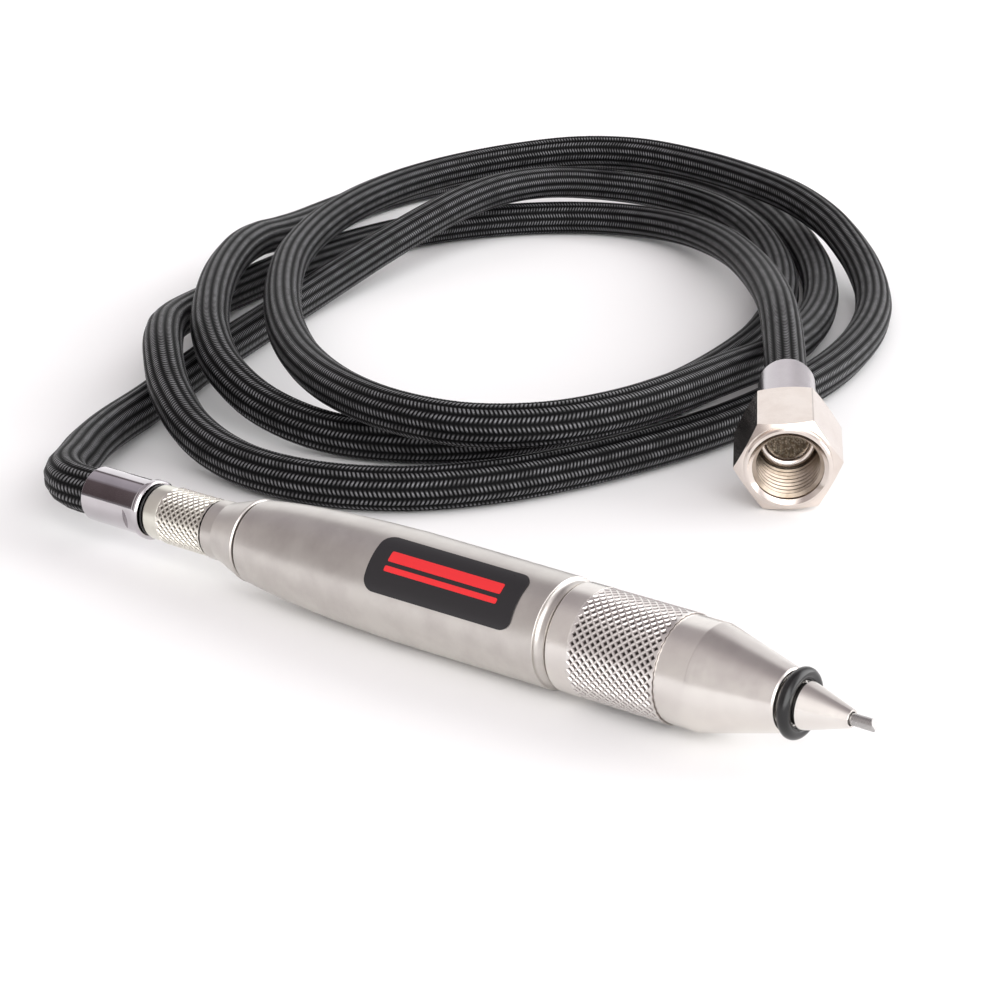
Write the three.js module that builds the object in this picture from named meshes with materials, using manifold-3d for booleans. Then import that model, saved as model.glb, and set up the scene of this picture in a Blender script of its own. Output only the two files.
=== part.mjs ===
import * as THREE from "three";
import { mergeVertices } from "three/addons/utils/BufferGeometryUtils.js";
import Module from "manifold-3d";

const wasm = await Module();
wasm.setup();

// Air engraving pen with its braided hose. Millimetres, +Z up. The pen lies on
// the floor along X with its tip at +X; the hose lies in loops on its +Y side.

// Clearances
const seatGap = 0.3; // between faces that meet
const fitGap = 0.15; // round a piece that is screwed, pressed or slid in
const cutOver = 1; // how far a cutting tool runs past what it cuts

// Facets round a turned piece
const bodySides = 40;
const fineSides = 32;
const coreSides = 24;
const smallSides = 16;

// Barrel
const barrelLength = 70;
const barrelRadius = 10;
const barrelRearRadius = 7.8;
const barrelFrontRadius = 9.75;
const barrelEdge = 0.3;
const barrelBoreRadius = 7.2;
const barrelRearBoreRadius = 6.6;
const grooveWidth = 2.2;
const grooveRadius = 8.9;
const spigotLength = 8.4;
const spigotRadius = 8.2;
// How the barrel swells from its rear edge to its full radius
const swellAlongShares = [0.1, 0.22, 0.36, 0.52];
const swellOutShares = [0.36, 0.66, 0.88, 1];

// Rear cap
const capBandLength = 3;
const capBandRadius = 5.6;
const capConeLength = 7.2;
const capSpigotLength = 8;
const capBoreRadius = 1.2;

// Inlet stem, throttle ring and seals
const stemRadius = 3.2;
const stemRearRadius = 2.4;
const stemRearLength = 6.5;
const stemFrontRadius = 2.6;
const stemFrontLength = 6.8;
const stemBoreRadius = 1.2;
const stemGrooveDepth = 0.9;
const stemGrooveWidth = 1.3;
const stemGrooveInset = 2.4;
const throttleRingLength = 15.1;
const throttleRadius = 5.45;
const throttleBandLength = 4;
const throttleBandRadius = 5.25;
const ringSealThickness = 0.4;
const ringSealRadius = 5.1;

// Hose ferrule
const ferruleLength = 15.6;
const ferruleRadius = 5.3;
const ferruleRimLength = 1.6;
const ferruleRimRadius = 5.75;
const ferruleRimEdge = 0.4;
const ferruleSocketDepth = 8.3;
const ferruleFlatWidth = 9.7; // across the two wrench flats
const ferruleFlatLength = 2.4;
const ferruleFlatTurn = 15; // degrees that the flats are turned about the axis

// Front grip
const gripBandLength = 4.5;
const gripBandRadius = 9.45;
const gripKnurlLength = 17;
const gripKnurlRadius = 9.4;
const gripFrontBandLength = 5.8;
const gripFrontBandRadius = 9.1;
const gripConeLength = 14.3;
const gripNoseRadius = 5.35;
const gripEdge = 0.35;
const gripCavityRadius = 5.6;
const gripShoulderLength = 8.2; // the bored nose ahead of the cavity

// Diamond knurls
const knurlDepth = 0.45;
const gripKnurlsAround = 38;
const gripKnurlsAlong = 11;
const ringKnurlsAround = 21;
const ringKnurlsAlong = 8;

// Nose bush and nose O-ring
const bushRadius = 4;
const bushFlangeRadius = 5.2;
const bushFlangeLength = 2.7;
const bushNeckRadius = 3.4;
const bushConeLength = 8.05;
const bushTipRadius = 1.5;
const bushStepShare = 0.2; // of the cone, where its bore narrows to the tip
const noseRingSection = 2.4;
const noseRingRadius = 4.85; // to the middle of its section

// Cylinder, piston and port block
const portBlockLength = 4;
const portRadius = 1.2;
const sleeveLength = 51.4;
const sleeveBoreRadius = 4.6;
const sleeveGrooveInset = 5;
const sleeveGrooveDepth = 0.9;
const sleeveGrooveWidth = 1.3;
const pistonLength = 22;
const pistonInset = 15.4; // from the sleeve's rear end
const pistonEdge = 0.6;
const pistonStemRadius = 2.2;
const pistonStemLength = 3;

// Stylus, carbide tip and return spring
const headRadius = 4.3;
const headLength = 5;
const headGap = 1.8; // room ahead of the head for the stroke
const shankRadius = 2.6;
const collarRadius = 4.2;
const collarLength = 1.5;
const collarGap = 1.2;
const shaftRadius = 2;
const noseShaftRadius = 1.75;
const shaftReach = 0.2; // past the cone's rear edge
const tipRadius = 1;
const tipReach = 4.45;
const tipPointLength = 0.6;
const tipPointRadius = 0.5;
const tipSocketDepth = 3;
const springRadius = 3.5;
const springWire = 0.45;
const springTurns = 7;
const curlSteps = 8;
const wireSides = 5;

// O-ring sections
const smallRingSection = 0.84;
const ringFacets = 6;

// Hose and its end fittings
const hoseDiameter = 9.1;
const hoseSides = 8;
const hoseSteps = 168;
const hoseInCollar = 10;
const collarTubeLength = 22;
const collarTubeRadius = 6;
const collarTubeEdge = 0.5;
const nutAcrossFlats = 19;
const nutLength = 18;
const nutChamfer = 1.4;
const nutBoreRadius = 6.2;
const nutReliefRadius = 7.1;
const nutReliefDepth = 2.6;
const nutMouthRadius = 7.9;
const nutMouthDepth = 0.8;
const nutFloor = 2.2;
const nutRoll = 5.3; // degrees about its axis, as it lies in the photograph
const tailStemRadius = 4;
const tailFlangeRadius = 5.8;
const tailFlangeLength = 3.6;
const tailSocketDepth = 7;
const tailSeatRadius = 5.4;
const tailSeatDepth = 2.4; // of the hollow cone that a fitting seats in
const tailEdge = 0.2;
const tailBoreRadius = 1.6;
const filterRadius = 4.7;
const filterThickness = 0.6;
const nutAxis = new THREE.Vector3(0.544, -0.825, -0.152).normalize();

// The middle of the hose, traced from the photograph: out of the ferrule,
// three loose loops over and under each other, and up to the nut's collar.
const hoseRoute = [
  [-77.6, 0, 10], [-85.6, 0, 10], [-93.3, 0.2, 10], [-100.4, 4.5, 9.6], [-107.65, 13.6, 8.3],
  [-116.75, 25.4, 6.7], [-124.75, 38.7, 5.5], [-132.6, 56, 4.65], [-140.4, 74.6, 4.65],
  [-148.1, 92.6, 4.65], [-154.8, 110.4, 4.65], [-161.4, 128.3, 4.65], [-167.1, 146.3, 5.2],
  [-171.2, 164.6, 7], [-173.7, 183.2, 9.8], [-175.6, 202, 12.6], [-177.5, 221.2, 14.5],
  [-178.3, 240.5, 15], [-176.1, 259.6, 13.8], [-170.5, 276.9, 10.9], [-161.1, 289.4, 7.9],
  [-147.1, 292.5, 5.8], [-131.4, 286.6, 4.9], [-116.3, 275, 4.65], [-102.6, 261, 4.65],
  [-90.1, 245.9, 4.7], [-78.9, 230.2, 4.7], [-69.1, 213.8, 4.7], [-60.9, 196.6, 4.7],
  [-54.7, 178.6, 4.7], [-50.4, 159.9, 4.7], [-47.8, 140.8, 4.7], [-47.5, 121.5, 4.7],
  [-50.4, 102.7, 4.7], [-58.1, 86, 4.65], [-70.8, 73.4, 4.65], [-87.4, 66.7, 5.1],
  [-105.4, 66.3, 7.4], [-122.5, 71.9, 10.8], [-137.6, 82.5, 13.6], [-151.1, 96, 15],
  [-163.7, 110.5, 15.4], [-175.5, 125.7, 15.3], [-186.2, 141.7, 14.9], [-195.8, 158.1, 13.2],
  [-204.6, 174.9, 10.2], [-213, 191.8, 7.6], [-220.7, 209.2, 5.8], [-226.4, 227.4, 4.9],
  [-229.6, 246.2, 4.65], [-229.8, 265.3, 4.65], [-226.1, 284, 4.7], [-217.9, 300.9, 4.7],
  [-205.2, 314, 4.7], [-189, 321.7, 4.7], [-171, 322.4, 4.7], [-153.3, 317, 4.7],
  [-136.9, 307.2, 4.7], [-121.8, 295.1, 4.7], [-107.9, 281.7, 4.65], [-95, 267.5, 4.65],
  [-82.8, 252.8, 4.65], [-71.7, 237.4, 4.7], [-61.7, 221.2, 5.1], [-53, 204.3, 6],
  [-45.5, 186.9, 7.2], [-39.3, 168.9, 8.9], [-34.4, 150.4, 11.2], [-30.7, 131.4, 13.4],
  [-28.9, 112.1, 14.5], [-30.3, 93.3, 14.7], [-36.8, 77, 14.6], [-49.4, 66.4, 14.5],
  [-66.3, 63.6, 14.7], [-84.2, 67.6, 14.9], [-101.3, 76.4, 14.7], [-117.1, 87.8, 14.5],
  [-131.7, 100.5, 14.4], [-145.2, 114.1, 14.5], [-157.9, 128.4, 14.6], [-169.7, 143.4, 14.7],
  [-180.2, 159.4, 14.5], [-189.3, 176.3, 14.5], [-196.7, 194.1, 14.6], [-202.1, 212.6, 14.7],
  [-204.3, 231.4, 15.1], [-201.7, 249.7, 16], [-193.4, 265.7, 17.5], [-179.7, 277.4, 19.3],
  [-162.4, 283.8, 19.9], [-143.4, 285.5, 18.9], [-124.3, 283.4, 17.4], [-105.9, 278.2, 15.6],
  [-89.1, 269.8, 12.6], [-74.2, 258.5, 8.7], [-61.5, 244.7, 6], [-50.8, 229, 4.8],
  [-42, 212, 4.65], [-35.1, 194.3, 4.65], [-29.9, 175.9, 4.7], [-26.8, 157.1, 4.7],
  [-25.6, 138.1, 4.7], [-26.4, 118.9, 4.65], [-29.3, 99.8, 4.65], [-34.1, 81, 4.65],
  [-41.4, 63.6, 4.7], [-52.7, 49.7, 4.65], [-68.3, 41.6, 4.65], [-86.2, 39.8, 5.2],
  [-104, 44, 7.2], [-120.4, 52.8, 10.8], [-134.9, 64.7, 14.1], [-148.3, 78.3, 14],
  [-160.6, 92.9, 11.2], [-171.4, 108.5, 8.3], [-180.4, 125.1, 6], [-187.1, 142.6, 4.65],
  [-191.4, 161.1, 4.65], [-194, 180.1, 4.65], [-194.6, 199.4, 4.7], [-192.3, 218.5, 4.7],
  [-186.1, 236.5, 4.65], [-175.8, 252, 4.65], [-161.8, 262.6, 4.8], [-145.3, 265.3, 5.4],
  [-128.5, 260.1, 6.7], [-112.7, 249.8, 8.3], [-98.3, 236.9, 10.2], [-84.9, 222.9, 12.1],
  [-72.3, 208.5, 14], [-60.3, 193.7, 16.1], [-48.8, 178.6, 18.3], [-37.4, 163.4, 19.8],
  [-26.3, 148, 19], [-12.7, 128.3, 15.9], [-7.3, 120, 14.4],
];

// Stations along the pen, from the ferrule's rear face to the tip's point
const gripLength = gripBandLength + gripKnurlLength + gripFrontBandLength + gripConeLength;
const capLength = capBandLength + capConeLength;
const penLength =
  ferruleLength + seatGap + ringSealThickness + seatGap + throttleRingLength + seatGap +
  capLength + seatGap + barrelLength + grooveWidth + gripLength + seatGap +
  noseRingSection + seatGap + bushConeLength + tipReach;
const ferruleRear = -penLength / 2;
const ferruleFront = ferruleRear + ferruleLength;
const sealRear = ferruleFront + seatGap;
const throttleRear = sealRear + ringSealThickness + seatGap;
const throttleFront = throttleRear + throttleRingLength;
const capRear = throttleFront + seatGap;
const capFront = capRear + capLength;
const barrelRear = capFront + seatGap;
const barrelFront = barrelRear + barrelLength;
const gripRear = barrelFront + grooveWidth;
const gripFront = gripRear + gripLength;
const spigotFront = gripRear + spigotLength;
const noseRingMiddle = gripFront + seatGap + noseRingSection / 2;
const coneRear = noseRingMiddle + noseRingSection / 2 + seatGap;
const coneFront = coneRear + bushConeLength;
const tipFront = coneFront + tipReach;
const capSpigotRadius = barrelRearBoreRadius - fitGap;
const blockRear = capFront + capSpigotLength + seatGap;
const sleeveRear = blockRear + portBlockLength + seatGap;
const sleeveFront = sleeveRear + sleeveLength;
const linerRadius = barrelBoreRadius - fitGap;
const pistonRear = sleeveRear + pistonInset;
const pistonFront = pistonRear + pistonLength;
const guideRear = sleeveFront + seatGap;
const guideFront = spigotFront;
const headFront = guideRear - headGap;
const collarRear = guideFront + collarGap;
const collarFront = collarRear + collarLength;
const cavityFront = gripFront - gripShoulderLength;
const flangeRear = cavityFront - seatGap - bushFlangeLength;
const shaftFront = coneRear + shaftReach;
const boreStep = coneRear + bushConeLength * bushStepShare;
const springLength = flangeRear - collarFront - 2 * seatGap;

// Turns an outline of [along, radius] pairs about the X axis. It runs forward
// over the outside and back through the bore, or starts and ends on the axis.
function turned(outline, sides) {
  const points = outline.map(([along, radius]) => new THREE.Vector2(radius, along));
  const onAxis = outline[0][1] === 0;
  if (!onAxis) points.push(points[0].clone());
  return new THREE.LatheGeometry(points, sides).rotateZ(-Math.PI / 2);
}

// A plain tube or, with no bore, a rod
function tube(rear, front, radius, bore, sides) {
  return turned([[rear, radius], [front, radius], [front, bore], [rear, bore]], sides);
}

function solidOf(geometry) {
  const bare = geometry.clone();
  bare.deleteAttribute("normal");
  bare.deleteAttribute("uv");
  const merged = mergeVertices(bare);
  return new wasm.Manifold(
    new wasm.Mesh({
      numProp: 3,
      vertProperties: merged.attributes.position.array,
      triVerts: new Uint32Array(merged.index.array),
    }),
  );
}

function geometryOf(solid) {
  const { vertProperties, triVerts } = solid.getMesh();
  const geometry = new THREE.BufferGeometry();
  geometry.setAttribute("position", new THREE.BufferAttribute(vertProperties, 3));
  geometry.setIndex(new THREE.BufferAttribute(triVerts, 1));
  geometry.computeVertexNormals();
  return geometry;
}

// Turns an outline as above, with a diamond knurl between two of its rings.
// There, peaks and valleys alternate on a grid of twice as many columns, and
// each square is split from valley to valley, so that the grooves cross.
function turnedWithKnurl(outline, knurl) {
  const columns = 2 * knurl.around;
  const rows = 2 * knurl.along;
  const positions = [];
  const index = [];
  const rings = [];
  let firstRow = 0;
  const addRing = (along, count, radiusAt) => {
    rings.push({ first: positions.length / 3, count });
    for (let i = 0; i < count; i++) {
      const turn = (i / count) * 2 * Math.PI;
      const radius = radiusAt(i);
      positions.push(along, -radius * Math.sin(turn), radius * Math.cos(turn));
    }
  };
  for (const [along, radius] of outline) {
    addRing(along, knurl.around, () => radius);
    if (along !== knurl.rear || radius !== knurl.radius - knurlDepth) continue;
    rings.pop();
    positions.length -= 3 * knurl.around;
    firstRow = rings.length;
    for (let j = 0; j <= rows; j++) {
      const end = j === 0 || j === rows;
      const peak = (i) => (i + j) % 2 === 0 && !end;
      addRing(knurl.rear + (j / rows) * (knurl.front - knurl.rear), columns, (i) =>
        peak(i) ? knurl.radius : knurl.radius - knurlDepth,
      );
    }
  }
  rings.forEach((ring, j) => {
    const next = rings[(j + 1) % rings.length];
    const most = Math.max(ring.count, next.count);
    for (let i = 0; i < most; i++) {
      const at = (r, k) => r.first + (Math.floor((k * r.count) / most) % r.count);
      const [a, b, c, d] = [at(ring, i), at(ring, i + 1), at(next, i), at(next, i + 1)];
      const peakFirst = Math.abs(i + j - firstRow) % 2 === 0;
      const pair = peakFirst ? [a, b, c, b, d, c] : [a, d, c, a, b, d];
      for (let k = 0; k < pair.length; k += 3) {
        const corner = pair.slice(k, k + 3);
        if (new Set(corner).size === 3) index.push(...corner);
      }
    }
  });
  const geometry = new THREE.BufferGeometry();
  geometry.setAttribute("position", new THREE.Float32BufferAttribute(positions, 3));
  geometry.setIndex(index);
  geometry.computeVertexNormals();
  return geometry;
}

// An O-ring round the X axis
function oRing(middle, radius, section, sides) {
  return new THREE.TorusGeometry(radius, section / 2, ringFacets, sides)
    .rotateY(Math.PI / 2)
    .translate(middle, 0, 0);
}

const stainless = { color: 0xc9c8c6, metalness: 0.9, roughness: 0.34 };
const brightSteel = { color: 0xd6d7d9, metalness: 1, roughness: 0.12 };
const nickel = { color: 0xcfc9c0, metalness: 0.95, roughness: 0.26 };
const toolSteel = { color: 0x8c8f93, metalness: 0.9, roughness: 0.3 };
const brass = { color: 0xb08d4c, metalness: 0.9, roughness: 0.32 };
const carbide = { color: 0x74777b, metalness: 0.8, roughness: 0.38 };
const rubber = { color: 0x111213, metalness: 0, roughness: 0.42 };
const braid = { color: 0x17181a, metalness: 0, roughness: 0.55 };
const gauze = { color: 0x9a958c, metalness: 0.8, roughness: 0.5 };

function named(name, geometry, look) {
  const mesh = new THREE.Mesh(geometry, new THREE.MeshStandardMaterial(look));
  mesh.name = name;
  return mesh;
}

const model = new THREE.Group();
const pen = new THREE.Group();
pen.position.z = barrelRadius;
model.add(pen);

// Barrel: rear edge, swell, straight run, groove and the grip's spigot
const swell = swellAlongShares.map((share, i) => [
  barrelRear + share * barrelLength,
  barrelRearRadius + swellOutShares[i] * (barrelRadius - barrelRearRadius),
]);
pen.add(
  named(
    "barrel",
    turned(
      [
        [barrelRear, barrelRearRadius - barrelEdge],
        [barrelRear + barrelEdge, barrelRearRadius],
        ...swell,
        [barrelFront - barrelEdge, barrelFrontRadius],
        [barrelFront, barrelFrontRadius - barrelEdge],
        [barrelFront, grooveRadius],
        [gripRear - seatGap, grooveRadius],
        [gripRear - seatGap, spigotRadius],
        [spigotFront, spigotRadius],
        [spigotFront, barrelBoreRadius],
        [blockRear - seatGap, barrelBoreRadius],
        [blockRear - seatGap, barrelRearBoreRadius],
        [barrelRear, barrelRearBoreRadius],
      ],
      bodySides,
    ),
    stainless,
  ),
);

// Rear cap
pen.add(
  named(
    "rear_cap",
    turned(
      [
        [capRear, capBandRadius - barrelEdge],
        [capRear + barrelEdge, capBandRadius],
        [capRear + capBandLength, capBandRadius],
        [capFront - barrelEdge, barrelRearRadius],
        [capFront, barrelRearRadius - barrelEdge],
        [capFront, capSpigotRadius],
        [capFront + capSpigotLength, capSpigotRadius],
        [capFront + capSpigotLength, capBoreRadius],
        [capRear + stemFrontLength + seatGap, capBoreRadius],
        [capRear + stemFrontLength + seatGap, stemFrontRadius + fitGap],
        [capRear, stemFrontRadius + fitGap],
      ],
      fineSides,
    ),
    stainless,
  ),
);

// Inlet stem with its two O-ring grooves
const stemShoulderFront = capRear - seatGap;
const grooveMiddles = [
  throttleRear + stemGrooveInset,
  throttleFront - stemGrooveInset,
];
const stemGrooves = grooveMiddles.flatMap((middle) => [
  [middle - stemGrooveWidth / 2, stemRadius],
  [middle - stemGrooveWidth / 2, stemRadius - stemGrooveDepth],
  [middle + stemGrooveWidth / 2, stemRadius - stemGrooveDepth],
  [middle + stemGrooveWidth / 2, stemRadius],
]);
pen.add(
  named(
    "inlet_stem",
    turned(
      [
        [ferruleFront - stemRearLength, stemRearRadius],
        [sealRear, stemRearRadius],
        [sealRear, stemRadius],
        ...stemGrooves,
        [stemShoulderFront, stemRadius],
        [stemShoulderFront, stemFrontRadius],
        [capRear + stemFrontLength, stemFrontRadius],
        [capRear + stemFrontLength, stemBoreRadius],
        [ferruleFront - stemRearLength, stemBoreRadius],
      ],
      coreSides,
    ),
    brass,
  ),
);
["throttle_o_ring_rear", "throttle_o_ring_front"].forEach((name, i) =>
  pen.add(
    named(
      name,
      oRing(
        grooveMiddles[i],
        stemRadius - stemGrooveDepth / 2,
        smallRingSection,
        smallSides,
      ),
      rubber,
    ),
  ),
);

// Throttle ring: plain band behind, knurl in front
const throttleKnurlRear = throttleRear + throttleBandLength;
pen.add(
  named(
    "throttle_ring",
    turnedWithKnurl(
      [
        [throttleRear, throttleBandRadius - barrelEdge],
        [throttleRear + barrelEdge, throttleBandRadius],
        [throttleKnurlRear, throttleBandRadius],
        [throttleKnurlRear, throttleRadius - knurlDepth],
        [throttleFront, stemRadius + fitGap],
        [throttleRear, stemRadius + fitGap],
      ],
      {
        rear: throttleKnurlRear,
        front: throttleFront,
        radius: throttleRadius,
        around: ringKnurlsAround,
        along: ringKnurlsAlong,
      },
    ),
    stainless,
  ),
);
pen.add(
  named(
    "ring_seal",
    tube(
      sealRear,
      sealRear + ringSealThickness,
      ringSealRadius,
      stemRadius + seatGap,
      fineSides,
    ),
    rubber,
  ),
);

// Hose ferrule: a socket for the hose, a rim, and two flats for a wrench
const ferruleBody = turned(
  [
    [ferruleRear, ferruleRadius - barrelEdge],
    [ferruleRear + barrelEdge, ferruleRadius],
    [ferruleFront - ferruleRimLength, ferruleRadius],
    [ferruleFront - ferruleRimLength, ferruleRimRadius - ferruleRimEdge],
    [ferruleFront - ferruleRimLength + ferruleRimEdge, ferruleRimRadius],
    [ferruleFront - ferruleRimEdge, ferruleRimRadius],
    [ferruleFront, ferruleRimRadius - ferruleRimEdge],
    [ferruleFront, stemRearRadius + fitGap],
    [ferruleRear + ferruleSocketDepth, stemRearRadius + fitGap],
    [ferruleRear + ferruleSocketDepth, hoseDiameter / 2 + seatGap],
    [ferruleRear, hoseDiameter / 2 + seatGap],
  ],
  fineSides,
);
const flatDepth = ferruleRadius + cutOver - ferruleFlatWidth / 2;
const flatMiddle = ferruleFront - ferruleRimLength - ferruleFlatLength / 2;
const flatCutter = (side) =>
  solidOf(
    new THREE.BoxGeometry(
      ferruleFlatLength,
      flatDepth,
      2 * (ferruleRadius + cutOver),
    )
      .translate(flatMiddle, side * (ferruleFlatWidth / 2 + flatDepth / 2), 0)
      .rotateX(THREE.MathUtils.degToRad(ferruleFlatTurn)),
  );
pen.add(
  named(
    "hose_ferrule",
    geometryOf(solidOf(ferruleBody).subtract(flatCutter(-1)).subtract(flatCutter(1))),
    brightSteel,
  ),
);

// Port block, cylinder sleeve and the sleeve's O-rings
pen.add(
  named(
    "port_block",
    tube(blockRear, blockRear + portBlockLength, linerRadius, portRadius, coreSides),
    brass,
  ),
);
const sleeveGrooveMiddles = [
  sleeveRear + sleeveGrooveInset,
  sleeveFront - sleeveGrooveInset,
];
const sleeveGrooves = sleeveGrooveMiddles.flatMap((middle) => [
  [middle - sleeveGrooveWidth / 2, linerRadius],
  [middle - sleeveGrooveWidth / 2, linerRadius - sleeveGrooveDepth],
  [middle + sleeveGrooveWidth / 2, linerRadius - sleeveGrooveDepth],
  [middle + sleeveGrooveWidth / 2, linerRadius],
]);
pen.add(
  named(
    "cylinder_sleeve",
    turned(
      [
        [sleeveRear, linerRadius],
        ...sleeveGrooves,
        [sleeveFront, linerRadius],
        [sleeveFront, sleeveBoreRadius],
        [sleeveRear, sleeveBoreRadius],
      ],
      coreSides,
    ),
    brass,
  ),
);
["sleeve_o_ring_rear", "sleeve_o_ring_front"].forEach((name, i) =>
  pen.add(
    named(
      name,
      oRing(
        sleeveGrooveMiddles[i],
        linerRadius - sleeveGrooveDepth / 2,
        smallRingSection,
        coreSides,
      ),
      rubber,
    ),
  ),
);

// Hammer piston with a striking nose
const pistonRadius = sleeveBoreRadius - fitGap;
pen.add(
  named(
    "hammer_piston",
    turned(
      [
        [pistonRear, 0],
        [pistonRear, pistonRadius - pistonEdge],
        [pistonRear + pistonEdge, pistonRadius],
        [pistonFront - pistonStemLength, pistonRadius],
        [pistonFront - pistonStemLength, pistonStemRadius],
        [pistonFront, pistonStemRadius],
        [pistonFront, 0],
      ],
      coreSides,
    ),
    toolSteel,
  ),
);

// Stylus guide, stylus and carbide tip
pen.add(
  named(
    "stylus_guide",
    tube(guideRear, guideFront, linerRadius, shankRadius + fitGap, coreSides),
    brass,
  ),
);
const tipRear = shaftFront - tipSocketDepth;
pen.add(
  named(
    "stylus",
    turned(
      [
        [headFront - headLength, 0],
        [headFront - headLength, headRadius - pistonEdge],
        [headFront - headLength + pistonEdge, headRadius],
        [headFront, headRadius],
        [headFront, shankRadius],
        [collarRear, shankRadius],
        [collarRear, collarRadius],
        [collarFront, collarRadius],
        [collarFront, shaftRadius],
        [flangeRear - seatGap - collarGap, shaftRadius],
        [flangeRear - seatGap - collarGap, noseShaftRadius],
        [shaftFront, noseShaftRadius],
        [shaftFront, tipRadius + fitGap],
        [tipRear - seatGap, tipRadius + fitGap],
        [tipRear - seatGap, 0],
      ],
      coreSides,
    ),
    toolSteel,
  ),
);
pen.add(
  named(
    "carbide_tip",
    turned(
      [
        [tipRear, 0],
        [tipRear, tipRadius],
        [tipFront - tipPointLength, tipRadius],
        [tipFront, tipPointRadius],
        [tipFront, 0],
      ],
      smallSides,
    ),
    carbide,
  ),
);

// Return spring between the stylus's collar and the nose bush
class SpringLine extends THREE.Curve {
  getPoint(t, target = new THREE.Vector3()) {
    const turn = t * springTurns * 2 * Math.PI;
    const reach = springLength - springWire * 2;
    return target.set(
      collarFront + seatGap + springWire + t * reach,
      springRadius * Math.sin(turn),
      springRadius * Math.cos(turn),
    );
  }
}
function roundSection(radius, sides) {
  const corners = Array.from({ length: sides }, (_, i) => {
    const turn = (i / sides) * 2 * Math.PI;
    return new THREE.Vector2(radius * Math.cos(turn), radius * Math.sin(turn));
  });
  return new THREE.Shape(corners);
}
pen.add(
  named(
    "return_spring",
    new THREE.ExtrudeGeometry(roundSection(springWire, wireSides), {
      steps: springTurns * curlSteps,
      extrudePath: new SpringLine(),
    }),
    toolSteel,
  ),
);

// Front grip: band, knurl, band and cone over a stepped bore
const gripKnurlRear = gripRear + gripBandLength;
const gripKnurlFront = gripKnurlRear + gripKnurlLength;
const gripConeRear = gripKnurlFront + gripFrontBandLength;
pen.add(
  named(
    "front_grip",
    turnedWithKnurl(
      [
        [gripRear, gripBandRadius - gripEdge],
        [gripRear + gripEdge, gripBandRadius],
        [gripKnurlRear, gripBandRadius],
        [gripKnurlRear, gripKnurlRadius - knurlDepth],
        [gripKnurlFront, gripFrontBandRadius],
        [gripConeRear, gripFrontBandRadius],
        [gripFront - gripEdge, gripNoseRadius],
        [gripFront, gripNoseRadius - gripEdge],
        [gripFront, bushRadius + fitGap],
        [cavityFront, bushRadius + fitGap],
        [cavityFront, gripCavityRadius],
        [spigotFront + seatGap, gripCavityRadius],
        [spigotFront + seatGap, spigotRadius + fitGap],
        [gripRear, spigotRadius + fitGap],
      ],
      {
        rear: gripKnurlRear,
        front: gripKnurlFront,
        radius: gripKnurlRadius,
        around: gripKnurlsAround,
        along: gripKnurlsAlong,
      },
    ),
    stainless,
  ),
);

// Nose bush and its O-ring
pen.add(
  named(
    "nose_bush",
    turned(
      [
        [flangeRear, bushFlangeRadius],
        [flangeRear + bushFlangeLength, bushFlangeRadius],
        [flangeRear + bushFlangeLength, bushRadius],
        [gripFront, bushRadius],
        [gripFront, bushNeckRadius],
        [coneRear, bushNeckRadius],
        [coneRear, bushRadius],
        [coneFront, bushTipRadius],
        [coneFront, tipRadius + fitGap],
        [boreStep, tipRadius + fitGap],
        [boreStep, noseShaftRadius + fitGap],
        [flangeRear, noseShaftRadius + fitGap],
      ],
      coreSides,
    ),
    stainless,
  ),
);
pen.add(
  named(
    "nose_o_ring",
    oRing(noseRingMiddle, noseRingRadius, noseRingSection, fineSides),
    rubber,
  ),
);

// Hose: one unbroken tube along its route
const hoseLine = new THREE.CatmullRomCurve3(
  hoseRoute.map((point) => new THREE.Vector3(...point)),
  false,
  "catmullrom",
);
model.add(
  named(
    "hose",
    new THREE.ExtrudeGeometry(roundSection(hoseDiameter / 2, hoseSides), {
      steps: hoseSteps,
      extrudePath: hoseLine,
    }),
    braid,
  ),
);

// The least gap between strands that lie beside or over each other
function leastStrandGap(line, diameter, samples) {
  const points = line.getSpacedPoints(samples);
  const step = line.getLength() / samples;
  const apart = Math.ceil((3 * diameter) / step);
  let least = Infinity;
  for (let i = 0; i < points.length; i++)
    for (let j = i + apart; j < points.length; j++)
      least = Math.min(least, points[i].distanceTo(points[j]));
  return least - diameter;
}
console.log(
  `hose ${hoseLine.getLength().toFixed(0)} mm long, least gap to itself`,
  `${leastStrandGap(hoseLine, hoseDiameter, 8 * hoseSteps).toFixed(2)} mm`,
);

// Hose end: built along its own X axis from the collar's rear face, then laid
// along the nut's axis
const hoseEnd = new THREE.Group();
const collarMouth = hoseRoute[hoseRoute.length - 2];
hoseEnd.position.set(...collarMouth);
const nutSide = new THREE.Vector3(0, 0, 1).cross(nutAxis).normalize();
const nutTop = new THREE.Vector3().crossVectors(nutAxis, nutSide);
hoseEnd.quaternion.setFromRotationMatrix(
  new THREE.Matrix4().makeBasis(nutAxis, nutSide, nutTop),
);
hoseEnd.rotateX(THREE.MathUtils.degToRad(nutRoll));
model.add(hoseEnd);

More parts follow.
